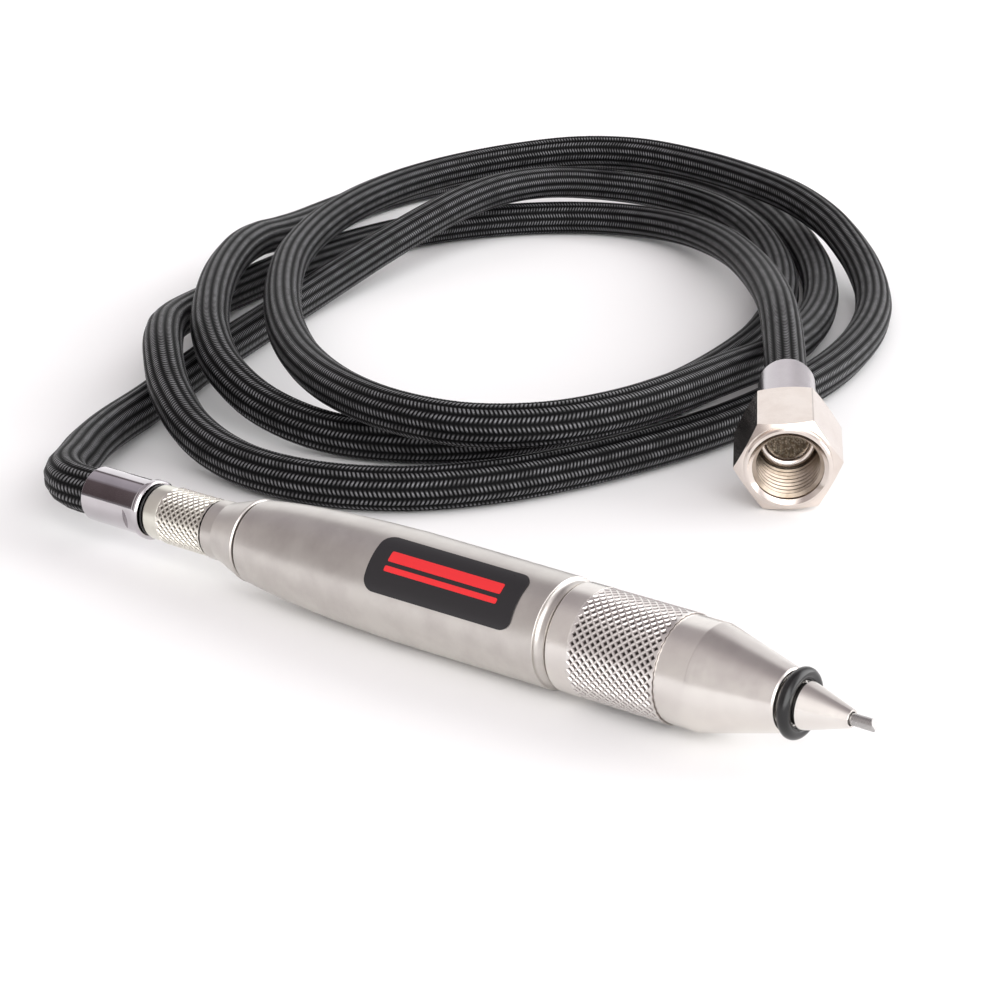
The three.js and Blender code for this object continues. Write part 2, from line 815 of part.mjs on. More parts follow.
const socketFloor = hoseInCollar + seatGap;
const nutRear = collarTubeLength + seatGap;
const nutFront = nutRear + nutLength;
const tailFlangeRear = nutRear + nutFloor + seatGap;
const tailFlangeFront = tailFlangeRear + tailFlangeLength;
const filterFront = tailFlangeFront - tailSeatDepth;
const filterRear = filterFront - filterThickness;
const tailRear = collarTubeLength - tailSocketDepth;
hoseEnd.add(
  named(
    "nut_ferrule",
    turned(
      [
        [0, collarTubeRadius - collarTubeEdge + seatGap],
        [collarTubeEdge, collarTubeRadius],
        [collarTubeLength - collarTubeEdge, collarTubeRadius],
        [collarTubeLength, collarTubeRadius - collarTubeEdge],
        [collarTubeLength, tailStemRadius + fitGap],
        [tailRear - seatGap, tailStemRadius + fitGap],
        [tailRear - seatGap, tailBoreRadius],
        [socketFloor, tailBoreRadius],
        [socketFloor, hoseDiameter / 2 + seatGap],
        [0, hoseDiameter / 2 + seatGap],
      ],
      fineSides,
    ),
    nickel,
  ),
);
hoseEnd.add(
  named(
    "tailpiece",
    turned(
      [
        [tailRear, tailStemRadius],
        [tailFlangeRear, tailStemRadius],
        [tailFlangeRear, tailFlangeRadius],
        [tailFlangeFront - tailEdge, tailFlangeRadius],
        [tailFlangeFront, tailFlangeRadius - tailEdge],
        [tailFlangeFront, tailSeatRadius],
        [filterFront, filterRadius + fitGap],
        [filterRear - fitGap, filterRadius + fitGap],
        [filterRear - fitGap, tailBoreRadius],
        [tailRear, tailBoreRadius],
      ],
      coreSides,
    ),
    brass,
  ),
);
hoseEnd.add(
  named(
    "inlet_filter",
    turned(
      [
        [filterRear, 0],
        [filterRear, filterRadius],
        [filterFront, filterRadius],
        [filterFront, 0],
      ],
      coreSides,
    ),
    gauze,
  ),
);

// Swivel nut: a hexagon with turned corners, bored for the thread and the tailpiece
const nutCornerRadius = nutAcrossFlats / Math.sqrt(3);
const nutFaceRadius = nutAcrossFlats / 2;
const nutHexagon = new THREE.CylinderGeometry(nutCornerRadius, nutCornerRadius, nutLength, 6)
  .rotateZ(-Math.PI / 2)
  .rotateX(Math.PI / 2)
  .translate((nutRear + nutFront) / 2, 0, 0);
const nutTurned = turned(
  [
    [nutRear, 0],
    [nutRear, nutFaceRadius],
    [nutRear + nutChamfer, nutCornerRadius],
    [nutFront - nutChamfer, nutCornerRadius],
    [nutFront, nutFaceRadius],
    [nutFront, 0],
  ],
  bodySides,
);
const nutBore = turned(
  [
    [nutRear - cutOver, 0],
    [nutRear - cutOver, tailStemRadius + seatGap],
    [nutRear + nutFloor, tailStemRadius + seatGap],
    [nutRear + nutFloor, nutBoreRadius],
    [nutFront - nutReliefDepth, nutBoreRadius],
    [nutFront - nutReliefDepth, nutReliefRadius],
    [nutFront - nutMouthDepth, nutReliefRadius],
    [nutFront, nutMouthRadius],
    [nutFront + cutOver, nutMouthRadius],
    [nutFront + cutOver, 0],
  ],
  fineSides,
);
hoseEnd.add(
  named(
    "swivel_nut",
    geometryOf(
      solidOf(nutHexagon).intersect(solidOf(nutTurned)).subtract(solidOf(nutBore)),
    ),
    nickel,
  ),
);

export default model;
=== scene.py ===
import math

import bmesh
import bpy
from mathutils import Matrix, Vector


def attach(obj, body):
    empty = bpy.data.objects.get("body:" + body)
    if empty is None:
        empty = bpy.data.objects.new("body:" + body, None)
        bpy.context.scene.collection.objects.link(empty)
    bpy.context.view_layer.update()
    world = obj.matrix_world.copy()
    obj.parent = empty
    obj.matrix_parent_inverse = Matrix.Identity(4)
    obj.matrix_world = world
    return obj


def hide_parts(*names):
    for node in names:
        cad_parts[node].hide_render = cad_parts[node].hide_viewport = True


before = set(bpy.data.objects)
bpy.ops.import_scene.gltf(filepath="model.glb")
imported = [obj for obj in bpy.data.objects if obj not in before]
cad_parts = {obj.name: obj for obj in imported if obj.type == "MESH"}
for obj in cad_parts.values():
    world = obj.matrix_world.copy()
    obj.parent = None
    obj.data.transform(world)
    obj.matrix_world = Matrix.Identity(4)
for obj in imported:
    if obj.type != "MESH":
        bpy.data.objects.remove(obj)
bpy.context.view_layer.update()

mm = 0.001
penAxis = Vector((0, 0, 10 * mm))  # a point on the pen's axis, which runs along X
origin = Vector((0, 0, 0))


def newObject(name, data):
    made = bpy.data.objects.new(name, data)
    bpy.context.scene.collection.objects.link(made)
    return made


# the camera of the photograph, fitted to the turned edges of the pen
camera = {
    "place": (0.26228, -0.31289, 0.17217),
    "right": (0.78125, 0.62422, 0.0),
    "up": (-0.20837, 0.26079, 0.94264),
    "lens": 91.77,
    "sensor": 36.0,
    "clip": (0.01, 20),
}


def addCamera():
    data = bpy.data.cameras.new("studioCamera")
    data.lens = camera["lens"]
    data.sensor_width = camera["sensor"]
    data.clip_start, data.clip_end = camera["clip"]
    view = newObject("studioCamera", data)
    right = Vector(camera["right"]).normalized()
    up = Vector(camera["up"]).normalized()
    back = right.cross(up)
    turn = Matrix((right, up, back)).transposed().to_4x4()
    view.matrix_world = Matrix.Translation(Vector(camera["place"])) @ turn
    bpy.context.scene.camera = view


addCamera()
print("camera placed")


hose = {
    "diameter": 9.1 * mm,
    "ribs": 14,
    "ribDepth": 0.3 * mm,
    "pointsPerRib": 4,
    "stepMm": 3.0,
    "pickMm": 0.85,
    "slantPicks": 0.85,
}
hoseRoute = [
    (-77.6, 0, 10), (-85.6, 0, 10), (-93.3, 0.2, 10), (-100.4, 4.5, 9.6), (-107.65, 13.6, 8.3),
    (-116.75, 25.4, 6.7), (-124.75, 38.7, 5.5), (-132.6, 56, 4.65), (-140.4, 74.6, 4.65),
    (-148.1, 92.6, 4.65), (-154.8, 110.4, 4.65), (-161.4, 128.3, 4.65), (-167.1, 146.3, 5.2),
    (-171.2, 164.6, 7), (-173.7, 183.2, 9.8), (-175.6, 202, 12.6), (-177.5, 221.2, 14.5),
    (-178.3, 240.5, 15), (-176.1, 259.6, 13.8), (-170.5, 276.9, 10.9), (-161.1, 289.4, 7.9),
    (-147.1, 292.5, 5.8), (-131.4, 286.6, 4.9), (-116.3, 275, 4.65), (-102.6, 261, 4.65),
    (-90.1, 245.9, 4.7), (-78.9, 230.2, 4.7), (-69.1, 213.8, 4.7), (-60.9, 196.6, 4.7),
    (-54.7, 178.6, 4.7), (-50.4, 159.9, 4.7), (-47.8, 140.8, 4.7), (-47.5, 121.5, 4.7),
    (-50.4, 102.7, 4.7), (-58.1, 86, 4.65), (-70.8, 73.4, 4.65), (-87.4, 66.7, 5.1),
    (-105.4, 66.3, 7.4), (-122.5, 71.9, 10.8), (-137.6, 82.5, 13.6), (-151.1, 96, 15),
    (-163.7, 110.5, 15.4), (-175.5, 125.7, 15.3), (-186.2, 141.7, 14.9), (-195.8, 158.1, 13.2),
    (-204.6, 174.9, 10.2), (-213, 191.8, 7.6), (-220.7, 209.2, 5.8), (-226.4, 227.4, 4.9),
    (-229.6, 246.2, 4.65), (-229.8, 265.3, 4.65), (-226.1, 284, 4.7), (-217.9, 300.9, 4.7),
    (-205.2, 314, 4.7), (-189, 321.7, 4.7), (-171, 322.4, 4.7), (-153.3, 317, 4.7),
    (-136.9, 307.2, 4.7), (-121.8, 295.1, 4.7), (-107.9, 281.7, 4.65), (-95, 267.5, 4.65),
    (-82.8, 252.8, 4.65), (-71.7, 237.4, 4.7), (-61.7, 221.2, 5.1), (-53, 204.3, 6),
    (-45.5, 186.9, 7.2), (-39.3, 168.9, 8.9), (-34.4, 150.4, 11.2), (-30.7, 131.4, 13.4),
    (-28.9, 112.1, 14.5), (-30.3, 93.3, 14.7), (-36.8, 77, 14.6), (-49.4, 66.4, 14.5),
    (-66.3, 63.6, 14.7), (-84.2, 67.6, 14.9), (-101.3, 76.4, 14.7), (-117.1, 87.8, 14.5),
    (-131.7, 100.5, 14.4), (-145.2, 114.1, 14.5), (-157.9, 128.4, 14.6), (-169.7, 143.4, 14.7),
    (-180.2, 159.4, 14.5), (-189.3, 176.3, 14.5), (-196.7, 194.1, 14.6), (-202.1, 212.6, 14.7),
    (-204.3, 231.4, 15.1), (-201.7, 249.7, 16), (-193.4, 265.7, 17.5), (-179.7, 277.4, 19.3),
    (-162.4, 283.8, 19.9), (-143.4, 285.5, 18.9), (-124.3, 283.4, 17.4), (-105.9, 278.2, 15.6),
    (-89.1, 269.8, 12.6), (-74.2, 258.5, 8.7), (-61.5, 244.7, 6), (-50.8, 229, 4.8),
    (-42, 212, 4.65), (-35.1, 194.3, 4.65), (-29.9, 175.9, 4.7), (-26.8, 157.1, 4.7),
    (-25.6, 138.1, 4.7), (-26.4, 118.9, 4.65), (-29.3, 99.8, 4.65), (-34.1, 81, 4.65),
    (-41.4, 63.6, 4.7), (-52.7, 49.7, 4.65), (-68.3, 41.6, 4.65), (-86.2, 39.8, 5.2),
    (-104, 44, 7.2), (-120.4, 52.8, 10.8), (-134.9, 64.7, 14.1), (-148.3, 78.3, 14),
    (-160.6, 92.9, 11.2), (-171.4, 108.5, 8.3), (-180.4, 125.1, 6), (-187.1, 142.6, 4.65),
    (-191.4, 161.1, 4.65), (-194, 180.1, 4.65), (-194.6, 199.4, 4.7), (-192.3, 218.5, 4.7),
    (-186.1, 236.5, 4.65), (-175.8, 252, 4.65), (-161.8, 262.6, 4.8), (-145.3, 265.3, 5.4),
    (-128.5, 260.1, 6.7), (-112.7, 249.8, 8.3), (-98.3, 236.9, 10.2), (-84.9, 222.9, 12.1),
    (-72.3, 208.5, 14), (-60.3, 193.7, 16.1), (-48.8, 178.6, 18.3), (-37.4, 163.4, 19.8),
    (-26.3, 148, 19), (-12.7, 128.3, 15.9), (-7.3, 120, 14.4),
]  # millimetres


# the hose's end is made along X from its collar's mouth, then laid along the nut's axis
nutAxis = Vector((0.544, -0.825, -0.152)).normalized()
nutSide = Vector((0, 0, 1)).cross(nutAxis).normalized()
nutRollDegrees = 5.3
endTurn = Matrix((nutAxis, nutSide, nutAxis.cross(nutSide))).transposed().to_4x4()
endRoll = Matrix.Rotation(math.radians(nutRollDegrees), 4, "X")
endMatrix = Matrix.Translation(Vector(hoseRoute[-2]) * mm) @ endTurn @ endRoll
endAngles = endMatrix.to_3x3().inverted().to_euler()


def linear(code):
    # sRGB hex to Blender's linear colour
    parts = [int(code[i : i + 2], 16) / 255 for i in (1, 3, 5)]
    parts = [p / 12.92 if p <= 0.04045 else ((p + 0.055) / 1.055) ** 2.4 for p in parts]
    return (*parts, 1)


def newMaterial(name, baseHex, metallic, roughness):
    material = bpy.data.materials.new(name)
    material.use_nodes = True
    shader = material.node_tree.nodes["Principled BSDF"]
    shader.inputs["Base Color"].default_value = linear(baseHex)
    shader.inputs["Metallic"].default_value = metallic
    shader.inputs["Roughness"].default_value = roughness
    return material


def addNode(material, kind, settings=None, **links):
    # one node: settings are its properties, links its sockets or their values, where
    # i and a number is the socket in that place
    node = material.node_tree.nodes.new(kind)
    for key, value in (settings or {}).items():
        setattr(node, key, value)
    for key, value in links.items():
        socket = node.inputs[int(key[1:])] if key[0] == "i" and key[1:].isdigit() else node.inputs[key]
        if isinstance(value, bpy.types.NodeSocket):
            material.node_tree.links.new(value, socket)
        else:
            socket.default_value = value
    return node


def feed(material, socket, source, node="Principled BSDF"):
    material.node_tree.links.new(source, material.node_tree.nodes[node].inputs[socket])


def maths(material, operation, *values, kind="ShaderNodeMath", out=0):
    # one sum, of numbers or of other nodes' outputs
    sockets = {f"i{k}": value for k, value in enumerate(values)}
    return addNode(material, kind, {"operation": operation}, **sockets).outputs[out]


def ranged(material, value, low, high, toLow=0.0, toHigh=1.0, kind="LINEAR"):
    # a value taken from one range to another, and kept within it
    return addNode(
        material, "ShaderNodeMapRange", {"interpolation_type": kind},
        Value=value, i1=low, i2=high, i3=toLow, i4=toHigh,
    ).outputs["Result"]


def objectPlace(material):
    return addNode(material, "ShaderNodeTexCoord").outputs["Object"]


def patches(material, place, sizeMm, detail, **more):
    return addNode(
        material, "ShaderNodeTexNoise", Vector=place, Scale=1 / (sizeMm * mm), Detail=detail, **more
    ).outputs["Fac"]


def emboss(material, height, strength, depthMm, **settings):
    # relief that is too fine to model
    bump = addNode(
        material, "ShaderNodeBump", settings, Height=height, Strength=strength, Distance=depthMm * mm
    ).outputs["Normal"]
    feed(material, "Normal", bump)


def colourRamp(material, factor, stops):
    ramp = addNode(material, "ShaderNodeValToRGB", Fac=factor)
    while len(ramp.color_ramp.elements) < len(stops):
        ramp.color_ramp.elements.new(0.5)
    for element, (place, code) in zip(ramp.color_ramp.elements, stops):
        element.position = place
        element.color = linear(code)
    return ramp.outputs["Color"]


def tint(material, factor, stops):
    feed(material, "Base Color", colourRamp(material, factor, stops))


ringStretch = 0.02  # a lathe mark's size along the piece, as a share of its size round it
smearMm = 6  # how wide a polished patch is


def turnedMetal(name, baseHex, darkHex, roughness, lineMm, bumpMm, uneven=0.06, turn=(0, 0, 0)):
    # lathe marks: rings that only change along the piece's own axis, over
    # patches where the hand has polished it a little more or less
    material = newMaterial(name, baseHex, metallic=1, roughness=roughness)
    place = addNode(
        material, "ShaderNodeMapping", Vector=objectPlace(material), Rotation=turn
    ).outputs["Vector"]
    squeezed = addNode(
        material, "ShaderNodeMapping", Vector=place, Scale=(1, ringStretch, ringStretch)
    ).outputs["Vector"]
    rings = patches(material, squeezed, lineMm, detail=3.0, Roughness=0.6)
    smears = patches(material, place, smearMm, detail=4.0, Roughness=0.6)
    tint(material, smears, [(0.3, darkHex), (0.62, baseHex)])
    ringRough = maths(material, "MULTIPLY_ADD", rings, uneven, roughness - uneven)
    rough = maths(material, "MULTIPLY_ADD", smears, uneven, ringRough)
    feed(material, "Roughness", rough)
    emboss(material, rings, strength=0.5, depthMm=bumpMm)
    return material


def knurlMetalPaintedPits(name, knurl, stops):
    # rolled ridges: painted shade darkens the steel from the crests down into the pits; the crests are
    # also smoother
    material = newMaterial(name, stops[-1][1], metallic=1, roughness=0.24)
    kind = "ShaderNodeVectorMath"
    fromAxis = maths(material, "SUBTRACT", objectPlace(material), tuple(penAxis), kind=kind)
    across = maths(material, "MULTIPLY", fromAxis, (0, 1, 1), kind=kind)
    radius = maths(material, "LENGTH", across, kind=kind, out="Value")
    crest = knurl["radius"] * mm
    height = ranged(material, radius, low=crest - knurl["depth"] * mm, high=crest)
    # painted shade: the colour runs from near black in the pits to the steel's own colour on the
    # crests
    tint(material, height, stops)
    rough = ranged(material, height, low=0.0, high=1.0, toLow=0.5, toHigh=0.2)
    feed(material, "Roughness", rough)
    return material


# stainless steel tube, rubbed down with fine cloth: a soft satin grey
satinBarrel = turnedMetal(
    "satinStainless", "#CFCBC6", "#C3BEBA", roughness=0.33, lineMm=0.35, bumpMm=0.001
)
# the same steel as it leaves the lathe: brighter, with a crisper highlight
turnedStainless = turnedMetal(
    "turnedStainless", "#E4E0DB", "#DBD6D2", roughness=0.24, lineMm=0.35, bumpMm=0.0008
)
# the same steel where it is polished: the throttle ring's plain band
polishedBand = turnedMetal(
    "polishedStainless", "#E4E2D8", "#D8D6CC", roughness=0.32, lineMm=0.5, bumpMm=0.0005,
    uneven=0.03,
)
# hard chrome plate: a near mirror
chromePlate = turnedMetal(
    "chromePlate", "#C8C4C7", "#C1BDC0", roughness=0.08, lineMm=1.2, bumpMm=0.0005, uneven=0.02
)
# hardened tool steel, ground
groundSteel = turnedMetal(
    "groundSteel", "#8F9296", "#7C7F83", roughness=0.3, lineMm=0.3, bumpMm=0.004
)
# free-cutting brass, turned
turnedBrass = turnedMetal(
    "turnedBrass", "#C3A05A", "#AE8A46", roughness=0.28, lineMm=0.3, bumpMm=0.005
)
# sintered tungsten carbide, diamond ground: darker than the steel of the nose
groundCarbide = turnedMetal(
    "groundCarbide", "#B4B2B1", "#A5A3A2", roughness=0.28, lineMm=0.25, bumpMm=0.0005
)
# the plated pieces on the hose's end lie along the nut's axis and show no lathe marks
plated = {"lineMm": 3.0, "bumpMm": 0.0, "turn": endAngles}
# bright nickel plate on brass: a warm mirror, dulled by handling
nickelPlate = turnedMetal(
    "nickelPlate", "#E2D9D2", "#D9CEC6", roughness=0.16, uneven=0.02, **plated
)
# darker nickel in the nut's bore: painted shade in the recess, and a little rougher
boreNickelPaintedShade = turnedMetal("boreNickelPaintedShade", "#A99C90", "#857869", roughness=0.24, uneven=0.02, **plated)
# satin nickel of the crimped collar, cooler than the nut
satinNickel = turnedMetal("satinNickel", "#BDB8BB", "#B7B2B6", roughness=0.24, uneven=0.01, **plated)


def makeRubber():
    # nitrile rubber, moulded and oiled: black with a soft highlight
    material = newMaterial("nitrileRubber", "#0D0D0E", metallic=0, roughness=0.34)
    grain = patches(material, objectPlace(material), sizeMm=0.5, detail=4.0)
    tint(material, grain, [(0.3, "#0A0A0B"), (0.7, "#121213")])
    rough = maths(material, "MULTIPLY_ADD", grain, 0.14, 0.16)
    feed(material, "Roughness", rough)
    emboss(material, grain, strength=0.3, depthMm=0.02)
    return material


def makeBraid(columns, picks, slantPicks):
    # polyester sleeve plaited over the hose: columns of picks that slant one way and then the other,
    # each pick with a painted highlight along its crest and painted shade in the gaps
    material = newMaterial("plaitedPolyester", "#17181A", metallic=0, roughness=0.5)
    uv = addNode(material, "ShaderNodeUVMap", {"uv_map": "braid"}).outputs["UV"]
    parts = addNode(material, "ShaderNodeSeparateXYZ", Vector=uv)
    along, around = parts.outputs["X"], parts.outputs["Y"]
    column = maths(material, "MULTIPLY", around, float(columns))
    across = maths(material, "FRACT", column)
    fromMiddle = maths(material, "ABSOLUTE", maths(material, "SUBTRACT", across, 0.5))
    slant = maths(material, "MULTIPLY", maths(material, "PINGPONG", column, 1.0), slantPicks)
    pick = maths(material, "MULTIPLY_ADD", along, float(picks), slant)
    wave = maths(material, "PINGPONG", pick, 0.5)
    crest = ranged(material, wave, low=0.08, high=0.42, kind="SMOOTHSTEP")
    rib = ranged(material, fromMiddle, low=0.48, high=0.06, kind="SMOOTHSTEP")
    height = maths(material, "MULTIPLY", crest, rib)
    fluff = patches(material, objectPlace(material), sizeMm=4, detail=5.0)
    shade = maths(material, "MULTIPLY", height, fluff)
    # painted shade in the gaps between the picks, a painted highlight on their crests
    tint(material, shade, [(0.04, "#0A0A0B"), (0.24, "#222223"), (0.52, "#626265")])
    rough = maths(material, "MULTIPLY_ADD", height, -0.26, 0.6)
    feed(material, "Roughness", rough)
    # only the crests shine: the gaps between the picks swallow the light
    shine = maths(material, "MULTIPLY_ADD", height, 0.62, 0.05)
    feed(material, "Specular IOR Level", shine)
    emboss(material, height, strength=0.9, depthMm=0.22)
    return material


def makeGauze():
    # nickel wire cloth, pressed into a pleated disc
    material = newMaterial("wireGauze", "#C9BFB0", metallic=1, roughness=0.42)
    wires = addNode(
        material, "ShaderNodeTexVoronoi", Vector=objectPlace(material), Scale=1 / (0.5 * mm)
    ).outputs["Distance"]
    tint(material, wires, [(0.1, "#F4ECDF"), (0.6, "#9A9082")])
    emboss(material, wires, strength=0.5, depthMm=0.12, invert=True)
    return material


def makeEnamel(name, code, roughness):
    # baked enamel on a thin plate, with a fine orange peel
    material = newMaterial(name, code, metallic=0, roughness=roughness)
    peel = patches(material, objectPlace(material), sizeMm=0.8, detail=2.0)
    rough = maths(material, "MULTIPLY_ADD", peel, 0.16, roughness - 0.08)
    feed(material, "Roughness", rough)
    emboss(material, peel, strength=0.25, depthMm=0.02)
    return material


nitrileRubber = makeRubber()
wireGauze = makeGauze()
blackEnamel = makeEnamel("blackEnamel", "#1A181B", roughness=0.32)
redEnamel = makeEnamel("redEnamel", "#D9262B", roughness=0.4)
print("materials made")


def smoothRoute(points, stepMm, steps=16):
    # a Catmull-Rom line through the points, drawn fine, then evenly spaced along it
    points = [Vector(p) for p in points]
    dense = []
    for i in range(len(points) - 1):
        p0, p1 = points[max(i - 1, 0)], points[i]
        p2, p3 = points[i + 1], points[min(i + 2, len(points) - 1)]
        for k in range(steps):
            t = k / steps
            dense.append(
                0.5 * (
                    2 * p1 + (p2 - p0) * t
                    + (2 * p0 - 5 * p1 + 4 * p2 - p3) * t ** 2
                    + (3 * p1 - p0 - 3 * p2 + p3) * t ** 3
                )
            )
    dense.append(points[-1])
    lengths = [0.0]
    for a, b in zip(dense, dense[1:]):
        lengths.append(lengths[-1] + (b - a).length)
    count = round(lengths[-1] / stepMm)
    line, at = [], 0
    for k in range(count + 1):
        want = lengths[-1] * k / count
        while at < len(lengths) - 2 and lengths[at + 1] < want:
            at += 1
        share = (want - lengths[at]) / (lengths[at + 1] - lengths[at])
        line.append((dense[at].lerp(dense[at + 1], min(share, 1))) * mm)
    return line, lengths[-1] * mm


def addPiece(name, mesh, materials, body, replaced=()):
    piece = newObject(name, mesh)
    for material in materials:
        mesh.materials.append(material)
    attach(piece, body)
    if replaced:
        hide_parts(*replaced)
    return piece


def cleanMesh(bm):
    bmesh.ops.remove_doubles(bm, verts=bm.verts, dist=1e-6)
    bmesh.ops.recalc_face_normals(bm, faces=bm.faces)


def newCurve(name, points, closed=False, **settings):
    data = bpy.data.curves.new(name, "CURVE")
    for key, value in settings.items():
        setattr(data, key, value)
    spline = data.splines.new("POLY")
    spline.points.add(len(points) - 1)
    for point, co in zip(spline.points, points):
        point.co = (*co, 1)
    spline.use_cyclic_u = closed
    return newObject(name, data)


def ribbedSection():
    # the hose's cross-section: a circle drawn in between its ribs
    count = hose["ribs"] * hose["pointsPerRib"]
    outline = []
    for i in range(count):
        turn = 2 * math.pi * i / count
        groove = (1 + math.cos(2 * math.pi * i / hose["pointsPerRib"])) / 2
        radius = hose["diameter"] / 2 - hose["ribDepth"] * groove ** 2
        outline.append((radius * math.cos(turn), radius * math.sin(turn), 0))
    return newCurve("hoseSection", outline, closed=True, dimensions="2D")


def makeHose():
    line, length = smoothRoute(hoseRoute, hose["stepMm"])
    section = ribbedSection()
    lineObject = newCurve(
        "hoseLine", line, dimensions="3D", twist_mode="MINIMUM", bevel_mode="OBJECT",
        bevel_object=section, use_fill_caps=True,
    )
    bpy.context.view_layer.update()
    swept = lineObject.evaluated_get(bpy.context.evaluated_depsgraph_get())
    mesh = bpy.data.meshes.new_from_object(swept)
    bpy.data.objects.remove(lineObject)
    bpy.data.objects.remove(section)
    mesh.name = "braidedHose"
    mesh.uv_layers[0].name = "braid"
    bm = bmesh.new()
    bm.from_mesh(mesh)
    cleanMesh(bm)
    for face in bm.faces:
        face.smooth = len(face.verts) == 4
    bm.to_mesh(mesh)
    bm.free()
    mesh.materials.clear()
    braid = makeBraid(hose["ribs"], length / (hose["pickMm"] * mm), hose["slantPicks"])
    piece = addPiece("braidedHose", mesh, [braid], "pen_body", ["hose"])
    print("hose swept, length %.3f m" % length)


def applyModifier(piece, kind, **settings):
    # the result of one modifier, as a mesh of its own
    modifier = piece.modifiers.new("work", kind)
    for key, value in settings.items():
        setattr(modifier, key, value)
    bpy.context.view_layer.update()
    result = bpy.data.meshes.new_from_object(
        piece.evaluated_get(bpy.context.evaluated_depsgraph_get())
    )
    piece.modifiers.remove(modifier)
    return result


def shadeMesh(mesh, sharpDegrees):
    # wide faces keep their own normals, so that only the small broken edges blend:
    # without it a turned cylinder mirrors the room like a barrel
    for face in mesh.polygons:
        face.use_smooth = True
    mesh.set_sharp_from_angle(angle=math.radians(sharpDegrees))
    name = mesh.name
    holder = newObject("holder", mesh)
    shaded = applyModifier(holder, "WEIGHTED_NORMAL", keep_sharp=True, weight=50)
    bpy.data.objects.remove(holder)
    bpy.data.meshes.remove(mesh)
    shaded.name = name
    return shaded


def rawMesh(name, bm):
    mesh = bpy.data.meshes.new(name)
    bm.to_mesh(mesh)
    bm.free()
    return mesh


def finishMesh(name, bm, sharpDegrees=32):
    return shadeMesh(rawMesh(name, bm), sharpDegrees)


def cutAway(piece, tools, operation):
    # exact booleans whose result is kept as the piece's own mesh
    for tool in tools:
        piece.data = applyModifier(
            piece, "BOOLEAN", object=tool, operation=operation, solver="EXACT"
        )
        bpy.data.objects.remove(tool)
    piece.data = shadeMesh(piece.data.copy(), sharpDegrees=28)


def bevelEdges(bm, edges, widthMm, segments):
    bmesh.ops.bevel(
        bm, geom=edges, offset=widthMm * mm, offset_type="OFFSET", segments=segments,
        profile=0.5, affect="EDGES", material=-1, clamp_overlap=True,
    )


def breakEdges(bm, widthMm, minDegrees, segments=2):
    # a small broken edge wherever two faces meet at an angle
    corners = [
        edge for edge in bm.edges
        if len(edge.link_faces) == 2 and edge.calc_face_angle() > math.radians(minDegrees)
    ]
    bevelEdges(bm, corners, widthMm, segments)


def sliceMesh(bm, place, normal, near, clearOuter=False):
    return bmesh.ops.bisect_plane(
        bm, geom=bm.verts[:] + bm.edges[:] + bm.faces[:], dist=near,
        plane_co=place, plane_no=normal, clear_outer=clearOuter,
    )["geom_cut"]


def spin(bm, geometry, centre, steps):
    # a full turn about the line along X through the centre
    bmesh.ops.spin(
        bm, geom=geometry, cent=centre, axis=(1, 0, 0), dvec=(0, 0, 0),
        angle=2 * math.pi, steps=steps, use_merge=True,
    )
    cleanMesh(bm)


def spinOutline(outline, steps, centre=penAxis):
    # [along, radius] pairs in millimetres, spun about a line along X
    bm = bmesh.new()
    verts = [
        bm.verts.new((along * mm, centre.y, centre.z + radius * mm))
        for along, radius in outline
    ]
    closed = outline[0][1] > 0
    pairs = list(zip(verts, verts[1:] + verts[:1] if closed else verts[1:]))
    edges = [bm.edges.new(pair) for pair in pairs]
    spin(bm, verts + edges, centre, steps)
    return bm


def turnMesh(bm, degrees, axis, centre=origin):
    turn = Matrix.Rotation(math.radians(degrees), 3, axis)
    bmesh.ops.rotate(bm, verts=bm.verts, cent=centre, matrix=turn)


def placeEnd(bm):
    bmesh.ops.transform(bm, matrix=endMatrix, verts=bm.verts)


def addTurned(name, node, material, outline, steps, atEnd=False, **edge):
    # a piece turned from its outline, with its edges broken as `edge` says
    bm = spinOutline(outline, steps, origin if atEnd else penAxis)
    breakEdges(bm, **edge)
    if atEnd:
        placeEnd(bm)
    return addPiece(name, finishMesh(name, bm), [material], "pen_body", [node])


def cadSpan(node):
    # where a CAD piece begins and ends along the pen, in millimetres
    piece = bpy.data.objects[node]
    along = [(piece.matrix_world @ vert.co).x / mm for vert in piece.data.vertices]
    return round(min(along), 2), round(max(along), 2)


# where the pen's main pieces begin and end. These, and every piece's own sizes, are
# in millimetres
barrelRear, barrelSpigotFront = cadSpan("barrel")
gripRear, gripFront = cadSpan("front_grip")
barrel = {
    "rearRadius": 7.8, "radius": 10.0, "frontRadius": 9.75, "edge": 0.45, "lip": 0.12,
    "lipLength": 0.1, "groove": 8.9, "grooveLength": 2.2, "grooveSteps": 12, "grooveRound": 0.8,
    "grooveFall": 0.3, "gripGap": 0.05, "spigot": 8.2, "bore": 7.2, "rearBore": 6.6, "boreRear": -35.4,
    "swellAlong": (0.1, 0.22, 0.36, 0.52), "swellOut": (0.36, 0.66, 0.88, 1.0),
    "swellSteps": 20,
}
barrelFront = gripRear - barrel["grooveLength"]


def smoothSteps(points, count):
    # rounds a run of outline points with the same curve as the hose's line
    run = [Vector((along, radius, 0)) for along, radius in points]
    line, _ = smoothRoute(run, (run[-1] - run[0]).length / count)
    return [(p.x / mm, p.y / mm) for p in line]


